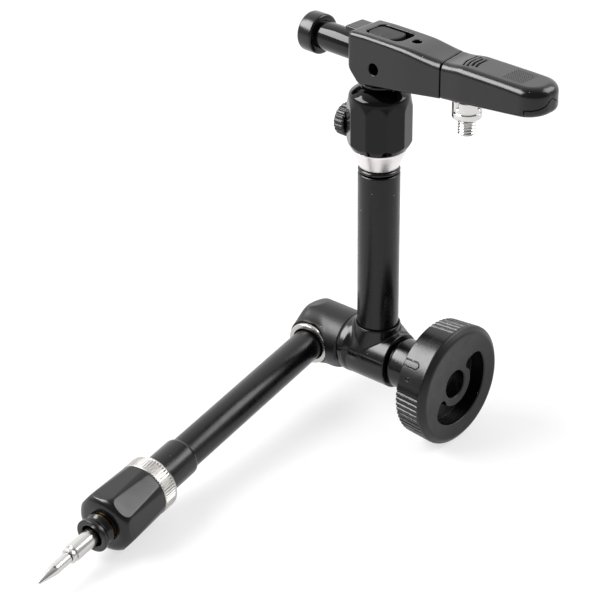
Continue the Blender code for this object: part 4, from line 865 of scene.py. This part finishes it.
def build_knob():
    """The clamping knob: ribbed rim, bevelled face, centre hole and crescent pocket."""
    low, high = extent(ELBOW, "knob")
    back, face, rim, nut = span("knob", ELBOW)
    back_rim = rim - 1.2
    rim_end = face - 2.8
    bevel_out, bevel_up = 0.614, 0.789
    hole = 8.2
    dish = 4.0
    face_r = rim - 3.4
    web = back + 7.4
    recess_r, recess_half, recess_depth = 27.5, 3.0, 5.0
    rib_pitch = radians(5.5)
    rib_depth = 0.8
    group = radians(110)
    groups = (radians(79), radians(259))
    pocket_r = 18.2
    pocket_half = 5.2
    pocket_floor = face - 10.8
    pocket_from, pocket_to = radians(-47), radians(121)
    screw_r = 16.0
    screws = (radians(-52.5), radians(125.4))
    screw_floor = face - 11.9
    screw_head, screw_hole = 4.2, 2.0
    mark_at = radians(232)
    mark_end, mark_half, mark_depth = 8.6, 2.0, 0.6
    ring_at = radians(246)
    ring_z, ring_r, ring_half, ring_depth = 6.2, 1.0, 0.25, 0.5
    line_half = 0.3
    far = 9.0

    def field(p):
        x, y, z = p.T
        r = np.hypot(x, y)
        angle = np.arctan2(y, x)
        up = z - back

        def from_angle(turn):
            """Length round the rim from an angle."""
            return back_rim * folded(angle, turn - pi, 1)

        def from_spot(radius, turn):
            """Distance from a place on the face."""
            return np.hypot(x - radius * cos(turn), y - radius * sin(turn))

        side = r - back_rim - (rim - back_rim) * up / (rim_end - back)
        dip = np.zeros(len(p))
        for start in groups:
            turn = (angle - start) % FULL_TURN
            wave = 0.5 - 0.5 * np.cos(FULL_TURN * turn / rib_pitch)
            dip = np.where(turn < group, rib_depth * unit(1.8 * wave - 0.8), dip)
        dip *= unit((rim_end - 0.3 - z) / 1.2)
        mark = np.hypot(from_angle(mark_at), np.maximum(up - mark_end, 0.0)) - mark_half
        ring = np.abs(np.hypot(from_angle(ring_at), up - ring_z) - ring_r) - ring_half
        side = side + dip + mark_depth * unit(1.3 - np.abs(mark) / line_half)
        side = side + ring_depth * unit(0.5 - ring / line_half)
        bevel = (r - rim) * bevel_out + (z - rim_end) * bevel_up
        sunk = dish * unit((face_r - r) / (face_r - hole))
        solid = meet(meet(side, bevel, 0.9), (z - face + sunk) * 0.985, 0.9)
        solid = meet(solid, back - z, 0.7)
        solid = bored(solid, r, z, (hole, web, face + PAST), blend=0.8)
        solid = bored(solid, r, z, (nut, back - PAST, face))
        solid = carve(solid, np.maximum(np.abs(r - recess_r) - recess_half, up - recess_depth), 0.5)
        turn = (angle - pocket_from) % FULL_TURN
        crescent = np.where(turn < pocket_to - pocket_from, np.abs(r - pocket_r) - pocket_half, far)
        for end in (pocket_from, pocket_to):
            crescent = np.minimum(crescent, from_spot(pocket_r, end) - pocket_half)
        solid = carve(solid, np.maximum(crescent, pocket_floor - z), 0.8)
        for end in screws:
            gap = from_spot(screw_r, end)
            solid = carve(solid, np.maximum(gap - screw_head, screw_floor - z), 0.5)
            solid = carve(solid, np.maximum(gap - screw_hole, back - PAST - z), 0.2)
        return solid

    place("clamp_knob", skin(field, low, high, 0.42), ELBOW, "knob", knob_skin)


# Pieces: upper arm


def build_upper():
    """Tube with its pin, rubber bead and plated neck."""
    low, high, radius, inner = span("upper_tube", UPPER)
    reach, height = rings("upper_tube", UPPER)
    pin = reach[height > high - 0.1].max()
    step = height[reach > pin + 0.5].max()
    wide = reach[height < low + 0.1].min()
    wide_end = step - 2.4
    outline = [(wide, low), (radius, low), (radius, step - 0.5, FINE), (radius - 0.5, step, 0.2), (pin, step)]
    outline += [(pin, high), (inner, high), (inner, wide_end), (wide, wide_end)]
    place("tube_upper", lathe(outline), UPPER, "upper_tube", tube_paint)

    low, high, radius, inner = span("upper_seal", UPPER)
    turns = np.linspace(-pi / 2, pi / 2, 15)
    ring = oval(inner, (low + high) / 2, radius - inner, (high - low) / 2, turns)
    place("bead", lathe(ring), UPPER, "upper_seal", rubber)

    low, high, radius, inner = span("neck_ring", UPPER)
    outline = [(inner, low), (radius - 4.0, low, FINE), (radius, high - 0.8, 0.4), (radius, high)]
    outline += [(inner, high)]
    place("neck", lathe(outline), UPPER, "neck_ring", upper_nickel)


def build_collar():
    """The collar: flats with scalloped ends under a glossy dome."""
    low, high, _, inner = span("collar", UPPER)
    reach, height_of = rings("collar", UPPER)
    wall = reach[height_of < low + 0.1].min()
    base = 15.6
    full = 18.0
    full_from = low + 4.2
    flat = 17.15
    run_out = 4.4
    dome = high - 7.1
    lip = 10.6
    sides = 10
    roll = radians(-38.8)
    crispness = 30.0
    cavity = 10.4
    floor = low + 2.8
    roof = floor + 15.5

    def flats(size, angle, height):
        if size < cavity + 0.1:
            return size
        return faceted(size, angle, flat, roll, sides, crispness)

    outline = [(wall, low), (base, low, FINE), (full, full_from, 0.4), (full, dome - run_out, 0.4)]
    outline += [(flat, dome, 0.5), (flat - 0.5, dome + 2.9, 1.8), (lip + 3.2, high - 1.9, 1.6)]
    outline += [(lip, high, FINE), (inner, high), (inner, roof + cavity - inner), (cavity, roof)]
    outline += [(cavity, floor), (wall, floor)]
    place("collar_body", lathe(outline, 320, flats, gap=0.5), UPPER, "collar", collar_paint)


def build_thumb():
    """The fluted thumb knob."""
    low, high, radius, _ = span("thumb_knob", THUMB)
    radius -= 0.6
    _, stem_high, stem_radius, _ = span("thumb_stem", THUMB)
    stem = stem_radius + GAP
    roof = stem_high + GAP
    flutes = 20
    steps_per_flute = 10
    depth = 0.6
    face_bevel = 1.6

    def fluted(size, angle, height):
        if size <= radius - face_bevel or not low + 0.5 < height < high - 0.2:
            return size
        wave = 0.5 + 0.5 * np.cos(flutes * angle)
        return size - depth * unit(1.7 * wave - 0.6)

    outline = [(0.0, roof), (stem, roof), (stem, low), (radius - 1.0, low, 0.6), (radius, low + 1.0, 0.4)]
    outline += [(radius, high - 1.2, 0.5), (radius - face_bevel, high, 0.8), (0.0, high)]
    mesh = lathe(outline, flutes * steps_per_flute, fluted, gap=0.7)
    place("thumb_wheel", mesh, THUMB, "thumb_knob", moulding)


# Pieces: head

# Room for the steel bar that runs from the head into the grip: half width, low and high side
TANG_HALF, TANG_LOW, TANG_HIGH = 7.8, 18.7, 25.5


def tang_room(points, start, end):
    """The hollow for the steel bar between two places along the head."""
    return brick(points, (start, -TANG_HALF, TANG_LOW), (end, TANG_HALF, TANG_HIGH), 0.0)


def build_head():
    """The head casting, with its latch pocket, pivot hole, spigot bore and ledge, and the pivot pin."""
    low, high = extent(HEAD, "head_body")
    seam = high[0]
    left = -10.5
    lug = -2.3
    lug_low = low[2]
    lug_rise = 8.5
    waist_low = 10.3
    waist_from = 28.0
    top = high[2]
    half = high[1]
    ledge_low, ledge_high = (-19.0, -4.8, 26.9), (left + 2.0, 8.5, 29.8)
    pocket_x, pocket_half, pocket_side, pocket_round = 9.2, 12.4, 7.4, 4.0
    pocket_floor = 24.2
    top_hole_x, top_hole_r, top_hole_floor = 28.0, 2.6, top - 5.0
    slot_x, slot_half, slot_side, slot_top = 10.2, 12.4, 4.3, 21.8
    spigot_z = (SPIGOT.translation.z - HEAD.translation.z) / MM
    spigot_bore, spigot_end = 4.8, -5.4
    grub_x, grub_r, grub_from = -8.0, 2.3, 3.5
    tang_from = 43.7
    pin_hole = 3.3

    def field(p):
        x, y, z = p.T
        drop = 0.5 * (1.0 - ease(x, left, lug + 6.0)) + 1.6 * ease(x, waist_from, seam)
        ramp = lug_low + (waist_low - lug_low) * (x - lug) / (seam - lug)
        slant = lug_low + lug_rise * (lug - x) / (lug - left)
        under = -join(-ramp, -slant, 1.6)
        wide = half - 0.8 * ease(x, waist_from, seam)
        middle = (under + top - drop) / 2
        edge = np.where(z > middle, 2.8 + 1.6 * ease(x, 12.0, seam), 1.6)
        solid = corner(np.abs(y) - wide, np.abs(z - middle) - (top - drop - under) / 2, edge)
        solid = meet(solid, left - x, 3.4)
        solid = meet(solid, x - seam + SEAM_SKEW * (y + half), 0.7)
        solid = join(solid, brick(p, ledge_low, ledge_high, 0.7), 0.8)
        pocket = slot_plan(x - pocket_x, y, pocket_half, pocket_side, pocket_round)
        solid = carve(solid, np.maximum(pocket, pocket_floor - z), 0.7)
        solid = drilled(solid, x - top_hole_x, y, top_hole_r, top_hole_floor - z, 0.5)
        solid = carve(solid, np.hypot(x - PIN_X, z - PIN_Z) - pin_hole, 0.5)
        slot = np.maximum(z - slot_top, np.abs(x - slot_x) - slot_half)
        solid = carve(solid, np.maximum(np.abs(y) - slot_side, slot), 0.4)
        solid = drilled(solid, y, z - spigot_z, spigot_bore, x - spigot_end, 0.4)
        solid = drilled(solid, x - grub_x, z - spigot_z, grub_r, grub_from - y)
        return carve(solid, tang_room(p, tang_from, seam + PAST), FINE)

    place("head_casting", skin(field, low, high, 0.55), HEAD, "head_body", casting)

    reach = 8.0
    pin_axes = axes_at(HEAD @ Vector((PIN_X * MM, 0.0, PIN_Z * MM)), across, UP)
    radius = span("pivot_pin", pin_axes)[2]
    outline = [(0.0, -reach), (radius, -reach), (radius, reach), (0.0, reach)]
    place("hinge_pin", lathe(outline, 48), pin_axes, "pivot_pin", dark_steel)


def build_latch():
    """The push button: a pad with a round right end, hollow below to leave its spring room when pressed."""
    low, high = extent(HEAD, "latch_button")
    middle = (low[0] + high[0]) / 2
    half = (high[0] - low[0]) / 2
    side = high[1]
    pad_round = 3.6
    end_round = 11.0
    crown = 0.25
    press = 2.5
    spring_low, spring_high = extent(HEAD, "latch_spring")
    nest_x, nest_y = ((spring_low + spring_high) / 2)[:2]
    nest_radius = (spring_high - spring_low)[1] / 2 + 0.5
    nest_top = spring_high[2] + press + 0.2

    def field(p):
        x, y, z = p.T
        plan = slot_plan(x - middle, y, half, side, pad_round)
        plan = meet(plan, np.hypot(x - high[0] + end_round, y) - end_round, 0.5)
        solid = meet(plan, z - high[2] - crown * (1.0 - (y / side) ** 2) + crown, 0.9)
        solid = meet(solid, low[2] - z, 0.4)
        nest = np.maximum(np.hypot(x - nest_x, y - nest_y) - nest_radius, z - nest_top)
        return np.maximum(solid, -nest)

    place("button", skin(field, low, high, 0.45), HEAD, "latch_button", button_skin)


def build_tongue():
    """The stem flange under the head, with the blade that the head tilts on."""
    low, high = extent(HEAD, "head_tongue")
    stem_x = (HEAD.inverted() @ elbow_at).x / MM
    base = low[2]
    disc_r, disc_height = 9.8, 1.9
    eye_r, eye_hole = 6.8, 3.3
    blade_half = 4.0
    foot_left, foot_right = -3.9, 13.0
    foot_rise, slope, slope_length = 5.0, 0.9, 1.35
    stem_hole, stem_top = 3.2, 4.3

    def field(p):
        x, y, z = p.T
        hinge = np.hypot(x - PIN_X, z - PIN_Z)
        x = x - stem_x
        reach = np.hypot(x, y)
        disc = bar(reach, z, disc_r, base, base + disc_height, 0.5)
        foot = np.maximum(foot_left - x, x - foot_right)
        foot = np.maximum(foot, np.maximum(base + 0.4 - z, z - PIN_Z))
        edge = slope * (x - foot_left) - (z - base - foot_rise)
        foot = np.maximum(foot, -edge / slope_length)
        blade = np.maximum(np.minimum(hinge - eye_r, foot), np.abs(y) - blade_half)
        solid = carve(join(disc, blade, 0.8), hinge - eye_hole, FINE)
        return drilled(solid, x, y, stem_hole, z - stem_top)

    place("tongue", skin(field, low, high, 0.5), HEAD, "head_tongue", gloss)


def build_spigot():
    """The spigot: a grooved tenon, a glossy pin and a broad flange."""
    low, high, radius, _ = span("spigot", SPIGOT)
    shank = 8.0
    tenon = 4.5
    groove = 3.5
    groove_low, groove_high = low + 1.4, low + 3.2
    shank_from = low + 5.1
    flange = high - 10.1
    shank_to = flange + 2.0
    outline = [(0.0, low), (tenon, low), (tenon, groove_low), (groove, groove_low), (groove, groove_high)]
    outline += [(tenon, groove_high), (tenon, shank_from), (shank, shank_from), (shank, shank_to)]
    outline += [(0.0, shank_to)]
    place("spigot_pin", lathe(outline), SPIGOT, "spigot", gloss)
    outline = [(0.0, flange), (shank + 0.8, flange, 0.6), (radius, flange + 0.6, 1.6)]
    outline += [(radius, high, 1.2), (radius - 2.2, high, FINE), (0.0, high)]
    trim("spigot_flange", lathe(outline), SPIGOT, body_of["spigot"], casting)


def build_grip():
    """The plastic grip: an upper shell with bowed grooves and a lower cover at its end."""
    low, high = extent(HEAD, "grip_shell", "grip_cover")
    start = low[0]
    end = high[0]
    top = high[2]
    half = high[1]
    waist_low = low[2]
    floor_rise, floor_end = 4.8, end - 14.8
    neck_end, neck_drop, neck_in = start + 14.0, 1.3, 0.5
    plan_round = 11.4
    arch = 6.4
    cover_from = end - 8.0
    cover_height = 4.2
    long_groove, short_groove = 7.4, 5.4
    groove_sides = (long_groove, long_groove, short_groove, short_groove)
    groove_from, groove_pitch = start + 8.2, 2.6
    groove_half, groove_floor, groove_bow, groove_skew = 0.46, top - 1.5, 1.6, 0.18
    tang_end = 80.3
    stud_x = (HEAD.inverted() @ STUD.translation).x / MM
    well_r, well_top = 5.1, 22.0

    def floor_line(x):
        return waist_low + floor_rise * (x - start) / (floor_end - start)

    def form(p):
        x, y, z = p.T
        under = floor_line(x)
        over = top - neck_drop + neck_drop * ease(x, start, neck_end)
        wide = half - neck_in * (1.0 - ease(x, start, neck_end))
        edge = 4.4 + 0.8 * ease(x, end - 24.0, end)
        plan_x = np.maximum(x - end + plan_round, 0.0)
        plan_y = np.maximum(np.abs(y) - wide + plan_round, 0.0)
        plan = np.where(plan_x > 0, np.hypot(plan_x, plan_y) - plan_round, np.abs(y) - wide)
        middle = (under + over) / 2
        edge = np.where(z > middle, edge, 0.6 * edge)
        solid = corner(plan, np.abs(z - middle) - (over - under) / 2, edge)
        return meet(solid, start - SEAM_SKEW * (y + half) - x, 0.7)

    def above(p):
        x, y, z = p.T
        middle = np.maximum(1.0 - np.hypot(y, 1.5) / half, 0.0)
        line = floor_line(x) + cover_height + arch * middle ** 3
        return np.minimum(0.85 * (line - z), x - cover_from)

    def shell(p):
        x, y, z = p.T
        solid = meet(form(p), above(p) + 0.2, FINE)
        for index, side in enumerate(groove_sides):
            bow = groove_from + groove_pitch * index + groove_bow * (y / long_groove) ** 2 - groove_skew * y
            groove = np.maximum(np.abs(y) - side, groove_floor - z)
            solid = carve(solid, np.maximum(np.abs(x - bow) - groove_half, groove), 0.25)
        solid = carve(solid, tang_room(p, start - PAST, tang_end), FINE)
        return drilled(solid, x - stud_x, y, well_r, z - well_top)

    def cover(p):
        return meet(form(p), -above(p), FINE)

    shell_low = low - np.array([2 * SEAM_SKEW * half, 0.0, 0.0])
    place("grip_top", skin(shell, shell_low, high, 0.5), HEAD, "grip_shell", grip_skin)
    cover_low = np.array([cover_from, low[1], low[2]])
    place("grip_end", skin(cover, cover_low, high, 0.6), HEAD, "grip_cover", grip_skin)
    build_dots(top)


def build_dots(top):
    """Fine raised dots on the grip where a thumb rests."""
    rows = 9
    pitch = 1.5
    first_x = 90.5
    radius, sunk = 0.42, 0.12
    work = bmesh.new()
    for row in range(rows):
        for line in range(rows):
            spot = Matrix.Translation((first_x + pitch * row, (line - rows // 2) * pitch, top - sunk))
            bmesh.ops.create_icosphere(work, subdivisions=2, radius=radius, matrix=spot)
    trim("grip_dots", finished(work), HEAD, "head", grip_skin)


def build_stud():
    """The threaded stud under the grip, and its slotted plated collar."""
    low, high, radius, _ = span("accessory_stud", STUD)
    pitch = 1.5875
    thread_depth = 0.75
    thread_end = low + 0.6 + 6 * pitch

    def thread(size, angle, height):
        if height > thread_end or size < radius - 0.5:
            return size
        phase = (height / pitch - angle / FULL_TURN) % 1.0
        return size - thread_depth * np.abs(2 * phase - 1)

    outline = [(0.0, low), (radius - 1.3, low, 0.2), (radius, low + 1.0, 0.2), (radius, high), (0.0, high)]
    place("stud", lathe(outline, 72, thread, gap=0.2), STUD, "accessory_stud", stud_nickel)

    low, high, radius, inner = span("stud_collar", STUD)
    slot_count = 4
    slot_half = 0.85
    slots_from = high - 4.0
    slot_floor = 0.6
    groove = radius - 1.0
    groove_low = low + 3.8
    groove_high = groove_low + 1.0

    def slots(size, angle, height):
        if height < slots_from or size < inner + 0.5:
            return size
        turn = folded(angle, -pi / slot_count, slot_count)
        inside = unit((slot_half - np.abs(turn) * radius) / 0.2 + 0.5)
        return size - (radius - inner - slot_floor) * inside

    outline = [(inner, low), (radius - 1.2, low, 0.4), (radius, low + 0.9, 0.5), (radius, groove_low, FINE)]
    outline += [(groove, groove_low, 0.2), (groove, groove_high, 0.2), (radius, groove_high, FINE)]
    outline += [(radius, high, 0.5), (inner, high)]
    place("stud_ring", lathe(outline, 200, slots, gap=0.45), STUD, "stud_collar", stud_nickel)


dress_nodes()
build_lower()
build_lock_ring()
build_chuck()
build_nose()
build_probe()
build_lower_housing()
build_upper_housing()
build_hub()
build_knob()
build_upper()
build_collar()
build_thumb()
build_head()
build_latch()
build_tongue()
build_spigot()
build_grip()
build_stud()


# Stage, light and camera


def floor_paper():
    """A pale paper that looks white to the camera and in reflections, and keeps a soft shadow."""
    whiteness = 0.66
    paper = Paint("floor_paper")
    paper.level("Base Color", (0.76, 0.76, 0.76, 1.0))
    paper.level("Roughness", 0.9)
    paper.level("Specular IOR Level", 0.0)
    glow = paper.node("ShaderNodeEmission", {"Strength": 1.0})
    path = paper.node("ShaderNodeLightPath")
    rays = path.outputs["Is Camera Ray"]
    for kind in ("Is Glossy Ray", "Is Transmission Ray"):
        rays = paper.calc("MAXIMUM", rays, path.outputs[kind])
    blend = paper.node("ShaderNodeMixShader")
    paper.link(paper.calc("MULTIPLY", rays, whiteness), blend.inputs["Fac"])
    paper.link(paper.shader.outputs[0], blend.inputs[1])
    paper.link(glow.outputs[0], blend.inputs[2])
    paper.link(blend.outputs[0], paper.tree.nodes["Material Output"].inputs["Surface"])
    return paper.material


def build_stage():
    """A floor under the lower arm's end and the knob's rim, tilted to meet both."""
    size = 6.0
    clearance = 0.0002
    work = bmesh.new()
    bmesh.ops.create_grid(work, x_segments=1, y_segments=1, size=size)
    mesh = finished(work)
    mesh.materials.append(floor_paper())
    floor = added("floor", mesh)
    end_y, end_low = BALL.translation.y, cad_box[0].z
    knob_low = elbow_at.z - extent(ELBOW, "knob")[1][0] * MM
    floor.location = (0.0, end_y, end_low - clearance)
    floor.rotation_euler.x = atan2(knob_low - end_low, elbow_at.y - end_y)


def build_world():
    """A studio that is bright behind the object and dim on the camera's side."""
    world = bpy.data.worlds.new("studio")
    bpy.context.scene.world = world
    studio = Nodes(world)
    sky = studio.tree.nodes["Background"]
    sky.inputs["Color"].default_value = (1.0, 1.0, 1.0, 1.0)
    coords = studio.node("ShaderNodeTexCoord")
    front = studio.facing(coords.outputs["Generated"], (0.66, -0.75, 0.0))
    studio.link(studio.spread(front, 1.35, 0.28, -0.7, 0.4), sky.inputs["Strength"])


def softbox(name, spot, width, height, power):
    """An area lamp that faces the elbow."""
    lamp = bpy.data.lights.new(name, "AREA")
    lamp.shape = "RECTANGLE"
    lamp.size = width
    lamp.size_y = height
    lamp.energy = power
    thing = added(name, lamp)
    thing.location = spot
    aim = Vector((0.0, 0.0, 0.12)) - Vector(spot)
    thing.rotation_mode = "QUATERNION"
    thing.rotation_quaternion = aim.to_track_quat("-Z", "Y")


def build_camera():
    """The photograph's viewpoint: a long lens whose axis passes the elbow at a known pixel."""
    image = 600.0
    focal = 2000.0
    distance = 1.1496
    elbow_pixel = (377.5, 351.6)
    roll = radians(-0.71)
    right = Vector((cos(AZIMUTH), sin(AZIMUTH), 0.0))
    up = VIEW.cross(right)
    level = right * cos(roll) + up * sin(roll)
    rise = up * cos(roll) - right * sin(roll)
    x = (elbow_pixel[0] - image / 2) / focal
    y = (image / 2 - elbow_pixel[1]) / focal
    spot = elbow_at + distance * (VIEW - x * level - y * rise)
    lens = bpy.data.cameras.new("camera")
    lens.sensor_width = 36.0
    lens.lens = focal / image * lens.sensor_width
    lens.clip_start = 0.05
    lens.clip_end = 50.0
    camera = added("camera", lens)
    camera.matrix_world = Matrix.Translation(spot) @ Matrix((level, rise, VIEW)).transposed().to_4x4()
    bpy.context.scene.camera = camera


build_stage()
build_world()
softbox("left_box", (-0.82, -0.66, 1.02), 1.2, 0.75, 38.0)
softbox("right_box", (0.60, 0.86, 0.95), 0.7, 0.7, 9.0)
build_camera()
bpy.context.scene.view_settings.view_transform = "Standard"
